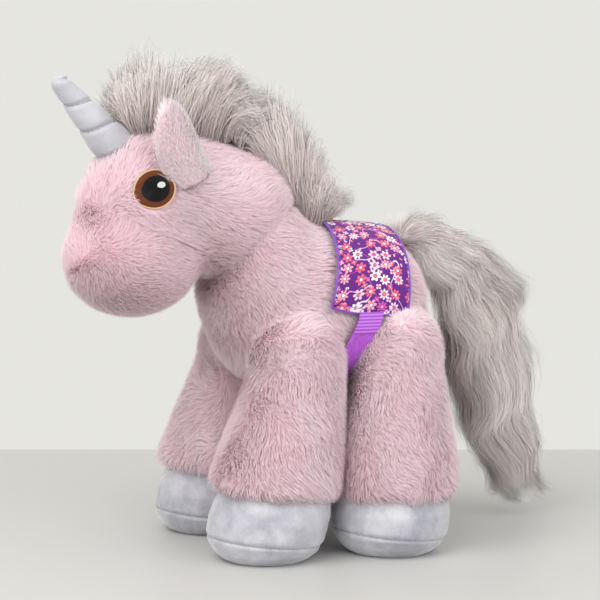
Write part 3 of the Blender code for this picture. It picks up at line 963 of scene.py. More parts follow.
def flower_layer(material, place, size, spread, petals, offset, least, chosen):
    """Stylised flowers in Voronoi cells. Returns (petal mask, heart mask, per-cell random value)."""
    moved = vector(material, "ADD", place, (offset, offset, 0))
    scaled = vector(material, "SCALE", moved, 1 / spread)
    values = {"Vector": scaled, "Scale": 1.0, "Randomness": FLOWER_SCATTER}
    cells = node(material, "ShaderNodeTexVoronoi", values, voronoi_dimensions="2D")
    local = vector(material, "SUBTRACT", scaled, cells.outputs["Position"])
    parts = node(material, "ShaderNodeSeparateXYZ", {0: local})
    random = node(material, "ShaderNodeSeparateColor", {0: cells.outputs["Color"]})
    turn = calculate(material, "ARCTAN2", parts.outputs[1], parts.outputs[0])
    turn = calculate(material, "MULTIPLY_ADD", random.outputs[0], 6.0, turn)
    lobes = calculate(material, "COSINE", calculate(material, "MULTIPLY", turn, petals / 2))
    lobes = calculate(material, "POWER", calculate(material, "ABSOLUTE", lobes), 0.8)
    reach = calculate(material, "MULTIPLY", calculate(material, "MULTIPLY_ADD", lobes, 0.62, 0.38), size)
    above = calculate(material, "GREATER_THAN", random.outputs[1], least)
    under = calculate(material, "LESS_THAN", random.outputs[1], chosen)
    here = calculate(material, "MULTIPLY", under, above)

    def inside(edge):
        return calculate(material, "MULTIPLY", below(material, cells.outputs["Distance"], edge, 0.03), here)

    petal, heart, gap = inside(reach), inside(size * 0.30), inside(size * 0.42)
    petal = calculate(material, "SUBTRACT", petal, calculate(material, "SUBTRACT", gap, heart))
    return node(material, "ShaderNodeClamp", {0: petal}).outputs[0], heart, random.outputs[2]


def print_material():
    """A purple cotton with a generic scatter of flowers, stems and dots."""
    material = shader_of("printed_cotton", 0.78, Sheen_Weight=0.12, Specular_IOR_Level=0.3)
    place = vector(material, "SCALE", flat_place(material), PRINT_SPAN)
    colour = PRINT_GROUND
    for scale, detail, level, width, tone in STEMS:
        field = cloud(material, place, scale, detail, dimensions="2D").outputs["Fac"]
        line = calculate(material, "ABSOLUTE", calculate(material, "SUBTRACT", field, level))
        colour = mix(material, below(material, line, width, 0.004), colour, tone)
    for layer in FLOWERS:
        petal, heart, random = flower_layer(material, place, *layer)
        colour = mix(material, petal, colour, ramp(material, random, FLOWER_TONES, stepped=True))
        other = calculate(material, "FRACT", calculate(material, "ADD", random, 0.45))
        colour = mix(material, heart, colour, ramp(material, other, FLOWER_TONES, stepped=True))
    weave = bands(material, place, 1.3, 0.4)
    threads = calculate(material, "ADD", weave, bands(material, place, 1.3, 0.4, "Y"))
    bump(material, threads, 0.25, 0.0002)
    link(material, colour, "Base Color")
    return material


def cloth_material(name, dark, light, roughness=0.7, sheen=0.3, thread=1.4, distance=0.0002):
    """A dyed woven cloth with faint slubs and a thread bump; its pattern is in millimetres of the mesh."""
    material = shader_of(name, roughness, Sheen_Weight=sheen, Specular_IOR_Level=0.35)
    place = vector(material, "SCALE", own_place(material), 1 / MM)
    slubs = cloud(material, place, 0.12, 5.0, 0.6).outputs["Fac"]
    link(material, ramp(material, slubs, [(0.32, dark), (0.68, light)]), "Base Color")
    bump(material, bands(material, place, thread, 1.0, "DIAGONAL"), 0.4, distance)
    return material


def flat_uv(obj, coordinates):
    """Gives a mesh its own texture layout: one (u, v) in 0 to 1 for each vertex."""
    mesh = obj.data
    layer = mesh.uv_layers.new(name="OFBake")
    index = np.empty(len(mesh.loops), np.int32)
    mesh.loops.foreach_get("vertex_index", index)
    layer.data.foreach_set("uv", np.asarray(coordinates, np.float32)[index].ravel())


def build_saddle():
    """The printed saddle cloth with its lining, turned edge and stitches."""
    rows, columns = 34, 110
    share = np.linspace(0, 1, rows)[:, None] * np.ones((1, columns))
    angle = np.ones((rows, 1)) * np.linspace(-SADDLE_EDGE, SADDLE_EDGE, columns)[None, :]
    ease = np.sin(share * math.pi * 2.3 + angle * 1.3) * 0.5 + np.sin(angle * 7 + share * 4) * 0.3
    flap = np.clip((np.abs(angle) - 0.9) / 0.6, 0, 1)
    points = saddle_points(share, angle, 2.9)
    normal = unit(in_mm(points) - BODY_MIDDLE)
    points = points + normal * ((0.35 + 0.75 * flap) * ease * MM)[..., None]
    over = np.linalg.norm(np.diff(points, axis=1), axis=2)
    back = np.linalg.norm(np.diff(points, axis=0), axis=2)
    u = np.concatenate((np.zeros((rows, 1)), np.cumsum(over, 1) / MM), 1)
    v = np.concatenate((np.zeros((1, columns)), np.cumsum(back, 0) / MM), 0)
    coordinates = np.stack(((u + 4) / PRINT_SPAN, (v + 4) / PRINT_SPAN), -1).reshape(-1, 2)
    faces = grid_faces(rows, columns)
    cloth = new_object("saddle_cloth_print", points.reshape(-1, 3), faces, print_material())
    flat_uv(cloth, coordinates)
    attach(cloth, "torso")
    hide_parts("saddle_cloth")
    inner = points - normal * 0.8 * MM
    inner = inner + (inner.mean((0, 1)) - inner) * 0.012
    lining_look = cloth_material("violet_lining", (0.20, 0.06, 0.42), (0.28, 0.10, 0.52))
    lining = new_object("saddle_cloth_lining", inner.reshape(-1, 3), faces[::-1], lining_look)
    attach(lining, "torso")
    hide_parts("saddle_lining")
    fold_look = cloth_material("violet_fold", (0.16, 0.05, 0.40), (0.26, 0.10, 0.55), roughness=0.6)
    out = outline_of(normal)
    hem = rolled_edge("saddle_turned_edge", outline_of(points) - out * 0.4 * MM, out, 0.75, fold_look)
    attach(hem, "torso")
    seam, seam_out = points[1:-1, 2:-2], normal[1:-1, 2:-2]
    line = outline_of(seam + seam_out * 0.15 * MM)
    stitches = stitch_run("saddle_stitches", line, outline_of(seam_out), 2.4)
    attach(stitches, "torso")


def outline_of(grid):
    """The points round the edge of a grid, in order."""
    return np.concatenate((grid[0], grid[1:-1, -1], grid[-1, ::-1], grid[-2:0:-1, 0]))


def rolled_edge(name, loop, out, radius, material):
    """A soft round fold along a closed loop."""
    sides = 8
    ahead = unit(np.roll(loop, -1, 0) - np.roll(loop, 1, 0))
    across = unit(np.cross(ahead, out))
    up = np.cross(across, ahead)
    turn = np.linspace(0, math.tau, sides, endpoint=False)
    cosine, sine = np.cos(turn)[None, :, None], np.sin(turn)[None, :, None]
    ring = radius * MM * (cosine * across[:, None] + sine * up[:, None])
    vertices = (loop[:, None] + ring).reshape(-1, 3)
    count = len(loop)
    faces = []
    for i in range(count):
        here, ahead_of = i * sides, (i + 1) % count * sides
        for j in range(sides):
            k = (j + 1) % sides
            faces.append((here + j, here + k, ahead_of + k, ahead_of + j))
    return new_object(name, vertices, faces, material)


THREAD = {}
VIOLET_THREAD = ("violet_thread", (0.24, 0.07, 0.42), (0.36, 0.13, 0.56))
GREY_THREAD = ("grey_thread", (0.34, 0.34, 0.38), (0.48, 0.48, 0.52))


def thread_material(name, dark, light):
    if name not in THREAD:
        THREAD[name] = cloth_material(name, dark, light, roughness=0.5, thread=3.0, distance=0.0001)
    return THREAD[name]


def stitch_run(name, line, out, spacing, radius=0.22, closed=True, tone=VIOLET_THREAD):
    """Separate short stitches along a line of points, each a small capsule lying on the cloth."""
    loop = np.concatenate((line, line[:1])) if closed else line
    steps = np.linalg.norm(np.diff(loop, axis=0), axis=1)
    travelled = np.concatenate(([0], np.cumsum(steps)))
    count = max(2, int(travelled[-1] / (spacing * MM)))
    starts = np.arange(count) * travelled[-1] / count
    vertices, faces = [], []
    around = 6
    for start in starts:
        ends = [
            np.array([np.interp(d, travelled, loop[:, axis]) for axis in range(3)])
            for d in (start, start + spacing * 0.68 * MM)
        ]
        middle = np.argmin(np.linalg.norm(line - ends[0], axis=1))
        ahead = unit(ends[1] - ends[0])
        side = unit(np.cross(ahead, out[middle]))
        up = np.cross(side, ahead)
        base = len(vertices)
        for share, size in ((0.0, 0.35), (0.2, 1.0), (0.8, 1.0), (1.0, 0.35)):
            centre = ends[0] + (ends[1] - ends[0]) * share + up * radius * 0.3 * MM
            for k in range(around):
                a = math.tau * k / around
                vertices.append(centre + radius * size * MM * (math.cos(a) * side + math.sin(a) * up))
        faces += [tuple(base + v for v in face) for face in grid_faces(4, around, closed=True)]
    return new_object(name, vertices, faces, thread_material(*tone))


def build_girth():
    """The webbing strap under the belly, with its folded and stitched ends."""
    rows, columns = 90, 9
    angle = np.linspace(math.radians(86.5), math.radians(273.5), rows)
    place = girth_place(angle)
    step = 0.02
    ahead, behind = (torso_points(place + side * step, angle, 0) for side in (1, -1))
    along = np.linalg.norm(ahead - behind, axis=1)
    half = STRAP_WIDTH / 2 * MM * 2 * step / along
    across = np.linspace(-1, 1, columns)
    places = place[:, None] + half[:, None] * across[None, :]
    turns = angle[:, None] * np.ones((1, columns))
    rise = 2.2 + 2.2 * np.clip(1 - np.abs(np.sin(turns)) * 0.2, 0, 1)
    points = torso_points_lifted(places, turns, rise)
    length = np.linalg.norm(np.diff(points[:, columns // 2], axis=0), axis=1)
    travelled = np.concatenate(([0], np.cumsum(length))) / MM
    strap = new_object("girth_webbing", points.reshape(-1, 3), grid_faces(rows, columns), webbing_material())
    u = np.ones((rows, 1)) * (0.1 + 0.05 * (across[None, :] + 1))
    v = (travelled / 260 + 0.1)[:, None] * np.ones((1, columns))
    flat_uv(strap, np.stack((u, v), -1).reshape(-1, 2))
    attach(strap, "torso")
    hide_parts("girth_strap")
    pieces, ribs = [], ribbed_material()
    for name, first, last in (("left", 0, FOLD_ROWS), ("right", rows - FOLD_ROWS, rows)):
        band = points[first:last]
        out = unit(in_mm(band) - BODY_MIDDLE)
        over = (band + out * 0.9 * MM).reshape(-1, 3)
        fold = new_object(f"girth_folded_end_{name}", over, grid_faces(FOLD_ROWS, columns), ribs)
        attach(fold, "torso")
        pieces.append(fold)
        row = 5 if name == "left" else 1
        line = band[row] + out[row] * 1.0 * MM
        run = stitch_run(f"girth_stitches_{name}", line, out[row], 1.9, closed=False)
        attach(run, "torso")
        pieces.append(run)


def webbing_material():
    material = shader_of("violet_webbing", 0.42, Sheen_Weight=0.4, Specular_IOR_Level=0.5)
    place = flat_place(material)
    tone = cloud(material, place, 60.0, 4.0).outputs["Fac"]
    tones = [(0.3, (0.33, 0.045, 0.52)), (0.7, (0.47, 0.09, 0.66))]
    link(material, ramp(material, tone, tones), "Base Color")
    bump(material, bands(material, place, 110.0, 0.6, "Y"), 0.35, 0.0002)
    return material


def ribbed_material():
    material = shader_of("ribbed_violet", 0.5, Sheen_Weight=0.4)
    ribs = bands(material, own_place(material), 160.0, 0.3, "Z")
    # Dark in each groove and light on each rib, following the bump: painted shade and highlight.
    tones = [(0.1, (0.32, 0.06, 0.52)), (0.9, (0.56, 0.18, 0.78))]
    link(material, ramp(material, ribs, tones), "Base Color")
    bump(material, ribs, 0.5, 0.0004)
    return material


# ---------------------------------------------------------------- hooves


def velboa_material(name, dark, light):
    """Short brushed plush: patches painted lighter and darker as the sheen the nap catches where it lies
    differently, and a soft sheen.
    """
    material = shader_of(name, 0.55, Sheen_Weight=0.9, Sheen_Roughness=0.35, Specular_IOR_Level=0.3)
    place = own_place(material)
    warp = cloud(material, place, 30.0, 2.0).outputs["Color"]
    moved = vector(material, "ADD", place, vector(material, "SCALE", warp, 0.012))
    # Lighter and darker patches in the colour: painted sheen of the nap lying in different directions.
    painted_nap_sheen = cloud(material, moved, 48.0, 5.0, 0.6).outputs["Fac"]
    nap = cloud(material, place, 1500.0, 3.0).outputs["Fac"]
    between = tuple(0.5 * (a + b) for a, b in zip(dark, light))
    colour = ramp(material, painted_nap_sheen, [(0.36, dark), (0.5, between), (0.64, light)])
    colour = mix(material, 0.22, colour, ramp(material, nap, [(0.35, dark), (0.65, light)]))
    link(material, colour, "Base Color")
    bump(material, nap, 0.35, 0.0003)
    return material


# A hoof's outline from its top down: (height, radius)
HOOF_OUTLINE = np.array(
    [
        (50, 28.5),
        (40, 31.4),
        (34, 33.9),
        (25, 35.2),
        (16, 34.6),
        (11, 33.2),
        (5, 29.7),
        (1.5, 25.5),
        (0, 22.5),
    ],
    float,
)


def hoof_radius(z):
    rows = HOOF_OUTLINE[::-1]
    return np.interp(z, rows[:, 0], rows[:, 1])


def build_hoof(name, look, sole_look):
    """A hoof's upper and sole, drawn in along their puckered seam."""
    around, rows_up, rows_down = 120, 34, 22
    angle = np.linspace(0, math.tau, around, endpoint=False)
    seam = 11.5 + 3.5 * np.cos(angle)
    source = np.random.default_rng(sum(map(ord, name)))
    phase = source.uniform(0, math.tau, 4)
    pucker = np.sin(angle * 37 + 2 * np.sin(angle * 3 + phase[0]) + phase[1])
    pucker = pucker + 0.6 * np.sin(angle * 23 + phase[2])

    def ring_at(z):
        r = hoof_radius(z)
        near = np.exp(-(((z - seam) / 1.0) ** 2))
        pleat = np.exp(-np.abs(z - seam) / 4.0) * np.clip(z / 3, 0, 1)
        r = r - 1.1 * near + 0.30 * pucker * pleat + 0.5 * np.sin(angle * 2 + phase[3] + z / 14)
        middle = leg_axis(name, np.maximum(z, 15.0))
        return np.stack((middle[..., 0] + r * np.sin(angle), middle[..., 1] - r * np.cos(angle), z), -1)

    upper = [ring_at(50 + (seam - 50) * share) for share in np.linspace(0, 1, rows_up) ** 0.9]
    lower = [ring_at(seam * (1 - share)) for share in np.linspace(0, 1, rows_down) ** 1.1]
    for part, rings, material, cap, node_names in (
        ("hoof_upper", upper, look, (True, False), (f"{name}_hoof_cover", f"{name}_hoof_pellets")),
        ("hoof_sole", lower, sole_look, (False, True), (f"{name}_hoof_sole",)),
    ):
        hoof = ring_loft(f"{name}_{part}", np.array(rings) * MM + ORIGIN, material, *cap)
        if part == "hoof_upper":
            stuffed(hoof, pins=hold_hoof, pressure=2.5, most=1.0, frames=14)
        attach(hoof, f"{name}_leg")
        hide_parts(*node_names)
    line = ring_at(seam) * MM + ORIGIN
    out = unit(np.stack((np.sin(angle), -np.cos(angle), np.zeros(around)), -1))
    thread = stitch_run(f"{name}_sole_seam", line + out * 0.25 * MM, out, 2.2, radius=0.2, tone=GREY_THREAD)
    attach(thread, f"{name}_leg")


def hold_hoof(points):
    """How firmly a hoof's upper is held: fully under the leg's hem and at the sole seam."""
    z = in_mm(points)[:, 2]
    return np.where((z > 41) | (z < 16), 1.0, 0.35)


# ---------------------------------------------------------------- horn

HORN_BASE = np.array((0, -117.5, 238.3))
HORN_LENGTH = 52.5
HORN_LEAN = math.radians(49)
HORN_PITCH = 17.5
HORN_AXIS = np.array((0, -math.cos(HORN_LEAN), math.sin(HORN_LEAN)))
HORN_SIDE = np.array((1.0, 0, 0))
HORN_UP = np.cross(HORN_SIDE, HORN_AXIS)


def horn_points(along, turn, lift=0.0):
    """The horn's padded spiral: it is drawn in along a helix of thread and puffs out between the turns."""
    share = np.clip(along / HORN_LENGTH, 0, 1)
    radius = 12.6 + (5.0 - 12.6) * share
    tip = np.clip((along - (HORN_LENGTH - 4.5)) / 4.5, 0, 1)
    radius = radius * np.sqrt(np.maximum(1 - tip**2, 0.0004))
    phase = (along / HORN_PITCH - turn / math.tau + 0.15) % 1
    gap = np.minimum(phase, 1 - phase) * HORN_PITCH
    puff = 0.05 * (np.cos(math.pi * (phase - 0.5)) - 0.6)
    radius = radius * (1 + puff) - 1.25 * np.exp(-((gap / 1.5) ** 2)) * (1 - tip) + lift
    centre = HORN_BASE + np.asarray(along)[..., None] * HORN_AXIS
    spread = np.cos(turn)[..., None] * HORN_SIDE + np.sin(turn)[..., None] * HORN_UP
    return centre + radius[..., None] * spread


def horn_gap(points):
    """How far points on the horn lie from the spiral thread, in mm."""
    q = in_mm(points) - HORN_BASE
    along = q @ HORN_AXIS
    turn = np.arctan2(q @ HORN_UP, q @ HORN_SIDE)
    phase = (along / HORN_PITCH - turn / math.tau + 0.15) % 1
    return np.minimum(phase, 1 - phase) * HORN_PITCH


def build_horn(look):
    """The stuffed horn and the thread that spirals up it."""
    rows, around = 130, 64
    along = np.linspace(-7, HORN_LENGTH - 0.01, rows)[:, None] * np.ones((1, around))
    turn = np.ones((rows, 1)) * np.linspace(0, math.tau, around, endpoint=False)[None, :]
    rings = horn_points(along, turn) * MM + ORIGIN
    horn = ring_loft("horn_skin", rings, look)
    stuffed(horn, pins=lambda p: np.clip(1.2 - horn_gap(p) / 6, 0.3, 1), pressure=2.5, most=0.7, frames=12)
    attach(horn, "head")
    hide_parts("horn_cover", "horn_stuffing")
    steps = np.linspace(3, HORN_LENGTH - 7, 260)
    turns = ((steps / HORN_PITCH + 0.15) * math.tau) % math.tau
    line = horn_points(steps, turns, 0.2) * MM + ORIGIN
    out = unit(line - ((HORN_BASE + steps[:, None] * HORN_AXIS) * MM + ORIGIN))
    thread = stitch_run("horn_spiral_thread", line, out, 3.2, radius=0.28, closed=False, tone=GREY_THREAD)
    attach(thread, "head")
    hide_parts("horn_thread")


# ---------------------------------------------------------------- ears

EAR_BASE = np.array((35.5, -79.0, 224.5))
EAR_TIP = np.array((40.0, -101.0, 262.0))
EAR_WIDTH = 33.0
EAR_FACING = math.radians(30)


def build_ear(side):
    """A cupped two-layer ear: pile on its outer face and a nap on its lining."""
    sign = 1 if side == "left" else -1
    flip = np.array((sign, 1, 1))
    back = np.array((math.cos(EAR_FACING), math.sin(EAR_FACING), 0))
    rise = EAR_TIP - EAR_BASE
    across = unit(np.cross(back, rise))
    back = unit(np.cross(rise, across))
    rows, around = 30, 40
    t = np.linspace(-0.12, 1, rows)
    half = EAR_WIDTH / 2 * np.sin(math.pi * np.clip(0.24 + 0.76 * t, 0.08, 1)) ** 0.55
    half = np.maximum(half, 0.3)
    turn = np.linspace(0, math.tau, around, endpoint=False)
    width = np.cos(turn)[None, :] * half[:, None]
    depth = np.sin(turn)[None, :] * np.minimum(2.4, half * 0.5)[:, None]
    cup = -0.034 * width**2 * (0.6 + 0.6 * (1 - np.clip(t, 0, 1)))[:, None]
    points = (
        EAR_BASE + t[:, None, None] * rise + width[..., None] * across + (depth + cup)[..., None] * back
    ) * flip
    ear = ring_loft(f"{side}_ear_skin", points * MM + ORIGIN, PINK_SKIN)
    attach(ear, f"{side}_ear")
    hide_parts(f"{side}_ear_outer", f"{side}_ear_lining")
    outwards = back * flip
    comb_ear = combed(rise * flip)
    pile(f"{side}_ear_fur", ear, EAR_FUR, f"{side}_ear", evenly(4.4), comb_ear,
         keep=lambda p, n: n @ outwards > -0.25, per_mm2=2.6, clump_area=12, width=0.38, ruffle=0.25,
         seed=21 + sign)
    pile(f"{side}_ear_lining_fur", ear, LINING_FUR, f"{side}_ear", evenly(2.4), comb_ear,
         keep=lambda p, n: n @ outwards <= -0.25, per_mm2=3.0, clump_area=8, width=0.34, ruffle=0.2,
         seed=25 + sign)


# ---------------------------------------------------------------- embroidered eyes


def embroidery(name, dark, light, stitches):
    """Satin stitch: threads that run across a band, each painted lighter on its crest and darker between
    threads as painted highlight and shade.
    """
    material = shader_of(name, 0.42, Specular_IOR_Level=0.22)
    thread = bands(material, flat_place(material), stitches, 0.6, detail=1.0)
    # Each thread's colour runs from dark in the gap to light on the crest: painted shade and highlight.
    link(material, ramp(material, thread, [(0.0, dark), (0.8, light)]), "Base Color")
    bump(material, thread, 0.7, 0.0003)
    return material


def eye_shape(turn):
    """How far the almond outline lies from the eye's centre, as a share of its radius."""
    corner = np.cos(turn - math.radians(205))
    return 1 + 0.11 * np.clip(corner, 0, 1) ** 9 - 0.045 * np.cos(2 * (turn - math.radians(200 - 90))) * 0.6


def eye_patch(name, side, inner, outer, lift, material, nodes, centre=(0.0, 0.0), oval=1.0, rows=6):
    """A ring or disc of embroidery lying on the domed side of the head."""
    sign = 1 if side == "left" else -1
    flip = np.array((sign, 1, 1))
    across = np.array((math.sin(EYE_TURN), math.cos(EYE_TURN), 0))
    up = np.array((0.0, 0.0, 1.0))
    columns = 96
    turn = np.linspace(0, math.tau, columns)
    share = np.linspace(0, 1, rows)
    radius = (inner + (outer - inner) * share)[:, None] * eye_shape(turn)[None, :]
    x = centre[0] + radius * np.cos(turn)[None, :]
    y = centre[1] + radius * oval * np.sin(turn)[None, :]
    dome = 0.6 - 1.6 * (x**2 + y**2) / 11.5**2
    round_off = lift * np.sin(np.clip(share, 0.04, 0.96) * math.pi)[:, None] ** 0.5 if inner > 0 else lift
    height = dome + round_off
    points = EYE + x[..., None] * across + y[..., None] * up + height[..., None] * EYE_OUT
    points = (points * flip * MM + ORIGIN).reshape(-1, 3)
    patch = new_object(name, points, grid_faces(rows, columns), material)
    u = np.linspace(0.01, 0.99, columns)[None, :] * np.ones((rows, 1))
    v = np.linspace(0.01, 0.99, rows)[:, None] * np.ones((1, columns))
    flat_uv(patch, np.stack((u, v), -1).reshape(-1, 2))
    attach(patch, "head")
    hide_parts(*nodes)


def build_eyes():
    """Both embroidered eyes: a cream rim, a rust ring, a black middle and a white glint."""
    cream = embroidery("cream_thread", (0.60, 0.38, 0.18), (0.88, 0.68, 0.42), 42)
    rust = embroidery("rust_thread", (0.09, 0.020, 0.008), (0.22, 0.062, 0.022), 42)
    black = embroidery("black_thread", (0.002, 0.002, 0.003), (0.011, 0.010, 0.011), 36)
    white = embroidery("white_thread", (0.80, 0.80, 0.80), (0.95, 0.95, 0.95), 16)
    for side in ("left", "right"):
        eye = f"{side}_eye"
        eye_patch(f"{eye}_rim", side, 10.7, 11.7, 0.7, cream, (f"{eye}_outline",))
        eye_patch(f"{eye}_ring", side, 7.0, 10.9, 0.45, rust, (f"{eye}_iris",))
        eye_patch(f"{eye}_middle", side, 0.0, 7.5, 0.75, black, (f"{eye}_pupil",),
                  centre=(0.7, 0.3), rows=12)
        eye_patch(f"{eye}_glint", side, 0.0, 2.2, 1.15, white, (f"{eye}_highlight",),
                  centre=(3.6, 2.5), oval=0.8, rows=5)


# ---------------------------------------------------------------- mane, forelock and tail

CREST_STRANDS = 15000
TAIL_STRANDS = 26000

# Sections of the hair from front to rear: (top y, top z, bottom y, bottom z, half width)
FORELOCK = np.array(
    [
        (-116, 262, -108, 249, 5),
        (-110, 275, -103, 248, 12),
        (-98, 283, -94, 248, 16),
        (-82, 284, -82, 247, 17),
        (-66, 283, -66, 247, 17),
        (-54, 278, -53, 246, 15),
        (-50, 268, -48, 248, 12),
        (-44, 262, -42, 241, 12),
    ],
    float,
)
MANE = np.array(
    [
        (-36, 272, -30, 232, 10),
        (-22, 269, -19, 222, 14),
        (-8, 264, -11, 210.5, 16),
        (5, 250, -2, 201, 16),
        (15, 233, 6, 197.5, 15),
        (22, 213, 11, 196.5, 12),
        (25, 204, 16, 196.5, 7),
    ],
    float,
)
TAIL = np.array(
    [
        (68, 187, 72, 168, 9),
        (84, 191, 79, 160, 15),
        (100, 190, 87, 150, 19),
        (118, 184, 92, 142, 22),
        (140, 170, 94, 122, 26),
        (154, 146, 97, 100, 27),
        (158, 114, 102, 80, 27),
        (160, 84, 110, 60, 26),
        (166, 58, 122, 42, 22),
        (170, 34, 134, 27, 15),
        (168, 16, 146, 14, 7),
    ],
    float,
)


def middle_line(rows, place):
    """The middle of a row list's sections, in metres in the frame."""
    section = curve_at(rows, place)
    centre = np.stack((np.zeros(len(section)), section[:, [0, 2]].mean(1), section[:, [1, 3]].mean(1)), -1)
    return centre * MM + ORIGIN


def hair_strands(name, rows, paths, body, node_names, seed, wild=1.0, width=0.3, lock=110):
    """Long pile along given paths, gathered in locks, with each strand waving on its own."""
    count, points = paths.shape[:2]
    source = np.random.default_rng(seed)
    t = np.linspace(0, 1, points)
    tips = paths[:, -1]
    leaders = source.choice(count, max(10, count // lock), replace=False)
    group = nearest(tips, tips[leaders])
    pull = 0.72 * t**1.6
    strength = source.uniform(0.1, 1.0, (count, 1, 1))
    paths = paths + (paths[leaders][group] - paths) * pull[None, :, None] * strength
    for size, amount in ((30, 6.5), (10, 2.4)):
        wave = wave_field(paths.reshape(-1, 3), size * MM, seed + size).reshape(paths.shape)
        loose = source.uniform(0.3, 1.0, (count, 1, 1))
        paths = paths + wave * loose * amount * wild * MM * (t**1.5)[None, :, None]
    paths = paths + source.normal(0, 1, (count, 1, 3)) * 1.6 * MM * (t**1.3)[None, :, None]
    along = unit(np.diff(paths, axis=1, append=paths[:, -1:] * 2 - paths[:, -2:-1]))
    side = unit(np.cross(along, unit(source.normal(size=(count, 1, 3)))))
    widths = width * MM * (1 - 0.88 * t[None, :] ** 1.5) * source.uniform(0.6, 1.25, (count, 1))
    shade = 0.5 + source.normal(0, 0.17, len(leaders))[group] + source.normal(0, 0.17, count)
    shade += 0.15 * wave_field(paths[:, points // 2], 30 * MM, seed + 90)[:, 0]
    middle = middle_line(rows, np.linspace(0, len(rows) - 1, 60))
    flat = paths.reshape(-1, 3)
    beside = middle[nearest(flat, middle)].reshape(paths.shape)
    outwards = unit((paths - beside) * np.array((1.5, 1, 1))) + np.array((0, -0.15, 0.55))
    outwards = outwards + unit(np.cross(side, along)) * 0.15 + source.normal(0, 0.12, (count, 1, 3))
    facing = (np.cross(side, along) * outwards).sum((1, 2))
    side = side * np.where(facing < 0, -1, 1)[:, None, None]
    hair = ribbons(name, paths, widths, side, shade, outwards, HAIR_FUR, body)
    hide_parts(*node_names)
    return hair


def crest_paths(rows, count, seed, back, fan, reach=(0.45, 1.12), points=9):
    """Strands that stand up from the crest, spread to both sides and bend towards the rear."""
    source = np.random.default_rng(seed)
    place = source.uniform(0, len(rows) - 1, count)
    section = curve_at(rows, place)
    angle = np.clip(source.normal(0, 0.62, count), -1.9, 1.9)
    leant = np.clip(place + back * source.uniform(0.2, 1.0, count), 0, len(rows) - 1)
    outside = section_points(rows, leant, angle)
    x = section[:, 4] * 0.75 * np.sin(angle * 0.9) + source.normal(0, 1.5, count)
    low = np.stack((x, section[:, 2], section[:, 3] - 5 - 0.012 * x**2), -1) * MM + ORIGIN
    tip = low + (outside - low) * (reach[0] + (reach[1] - reach[0]) * source.random(count) ** 1.2)[:, None]
    share = place / (len(rows) - 1)
    tip[:, 1] += (fan[0] + (fan[1] - fan[0]) * share) * MM
    tip += source.normal(0, 3.6, (count, 3)) * MM
    rise = np.linalg.norm(tip - low, axis=1)[:, None]
    up = section[:, 0:2] - section[:, 2:4]
    upright = unit(np.stack((0.5 * np.sin(angle) * np.abs(up[:, 1]), up[:, 0], up[:, 1]), -1))
    first = low + upright * rise * 0.55
    drop = np.array((0, 0.45, -1.0)) * MM * 7
    second = tip - drop * 0.9 + upright * rise * 0.10
    t = np.linspace(0, 1, points)[None, :, None]
    a, b, c, d = (p[:, None, :] for p in (low, first, second, tip))
    return (1 - t) ** 3 * a + 3 * (1 - t) ** 2 * t * b + 3 * (1 - t) * t**2 * c + t**3 * d


def tail_paths(count, seed, points=11):
    """Strands that leave the dock inside the tail and flow out and down along it."""
    source = np.random.default_rng(seed)
    last = len(TAIL) - 1
    end = last * source.random(count) ** 1.15 + 0.5
    start = np.maximum(-0.3, end - source.uniform(2.0, 4.2, count)) * 0.85
    angle = source.uniform(0, math.tau, count)
    size = source.uniform(0.25, 1.0, count) ** 0.5 * source.uniform(0.85, 1.2, count)
    paths = []
    for t in np.linspace(0, 1, points):
        place = start + (end - start) * t
        inside = np.minimum(place, last)
        outside = section_points(TAIL, inside, angle)
        centre = middle_line(TAIL, inside)
        radial = 0.12 + (size - 0.12) * t**0.5
        p = centre + (outside - centre) * radial[:, None]
        p = p + np.array((0, 0.1, -1)) * np.maximum(place - last, 0)[:, None] * 14 * MM
        paths.append(p)
    return np.stack(paths, 1)


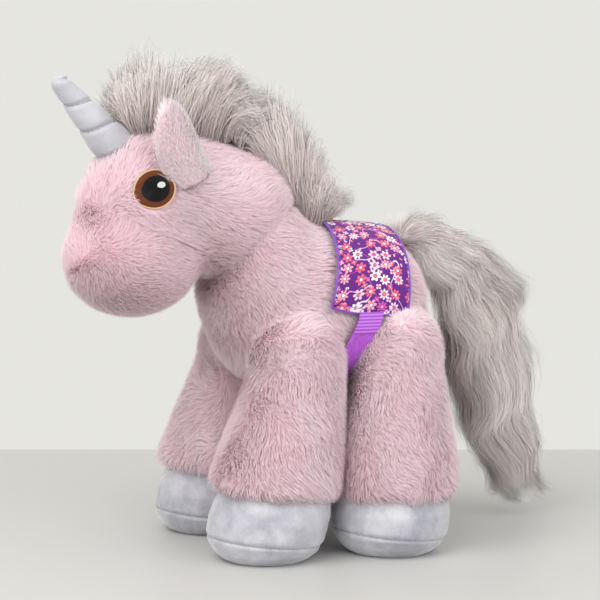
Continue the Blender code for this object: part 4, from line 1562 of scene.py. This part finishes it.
def volume_core(name, rows, body, shrink, nodes):
    """A dark inner volume that closes the pile, so that no light shows through it."""
    steps, around = 24, 20
    place = np.repeat(np.linspace(0.3, len(rows) - 1.6, steps), around)
    angle = np.tile(np.linspace(0, math.tau, around, endpoint=False), steps)
    centre = middle_line(rows, place)
    points = centre + (section_points(rows, place, angle) - centre) * shrink
    core = ring_loft(name, points.reshape(steps, around, 3), HAIR_SKIN)
    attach(core, body)
    if nodes:
        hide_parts(*nodes)
    return core


def build_hair():
    """The forelock, the mane, the tail and the fluffy tab at the tail's root."""
    crest = int(CREST_STRANDS * DENSITY)
    forelock = crest_paths(FORELOCK, crest, 31, 0.8, fan=(-9, 26))
    hair_strands("forelock_strands", FORELOCK, forelock, "head", ["forelock_pile"], 41)
    mane = crest_paths(MANE, crest, 32, 0.7, fan=(-20, 6))
    hair_strands("mane_strands", MANE, mane, "torso", ["mane_pile"], 42)
    tail = tail_paths(int(TAIL_STRANDS * DENSITY), 33)
    hair_strands("tail_strands", TAIL, tail, "tail", ["tail_pile"], 43, wild=1.25, lock=170)
    volume_core("tail_core", TAIL, "tail", 0.42, [])
    tab_low, tab_high = (np.array(corner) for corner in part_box("tail_root_tab"))
    middle, half = (tab_low + tab_high) / 2, (tab_high - tab_low) / 2
    turn = np.linspace(0, math.tau, 24, endpoint=False)[None, :]
    ends = np.linspace(-1, 1, 9)[:, None]
    narrow = 1 - 0.25 * ends**4
    spread = (np.cos(turn) * narrow, ends * np.ones((1, 24)), np.sin(turn) * narrow)
    rings = np.stack([middle[axis] + half[axis] * spread[axis] for axis in range(3)], -1)
    tab = ring_loft("tail_root_skin", rings, HAIR_SKIN)
    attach(tab, "tail_root")
    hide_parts("tail_root_tab")
    pile("tail_root_fur", tab, HAIR_FUR, "tail_root", evenly(13),
         combed((0, 1, 0.1)), per_mm2=2.2, lean=(20, 75), width=0.34, ruffle=0.5, segments=4, seed=61)


# ---------------------------------------------------------------- the scene


make_camera()
make_studio()
torso = build_torso()
head = build_head()
legs = {name: build_leg(name) for name in LEGS}
build_fur(torso, head, legs)
silver = velboa_material("silver_velboa", (0.345, 0.345, 0.405), (0.63, 0.63, 0.67))
horn_silver = velboa_material("horn_velboa", (0.42, 0.42, 0.47), (0.56, 0.56, 0.60))
for name in LEGS:
    build_hoof(name, silver, silver)
build_horn(horn_silver)
for side in ("left", "right"):
    build_ear(side)
build_eyes()
build_hair()
build_saddle()
build_girth()
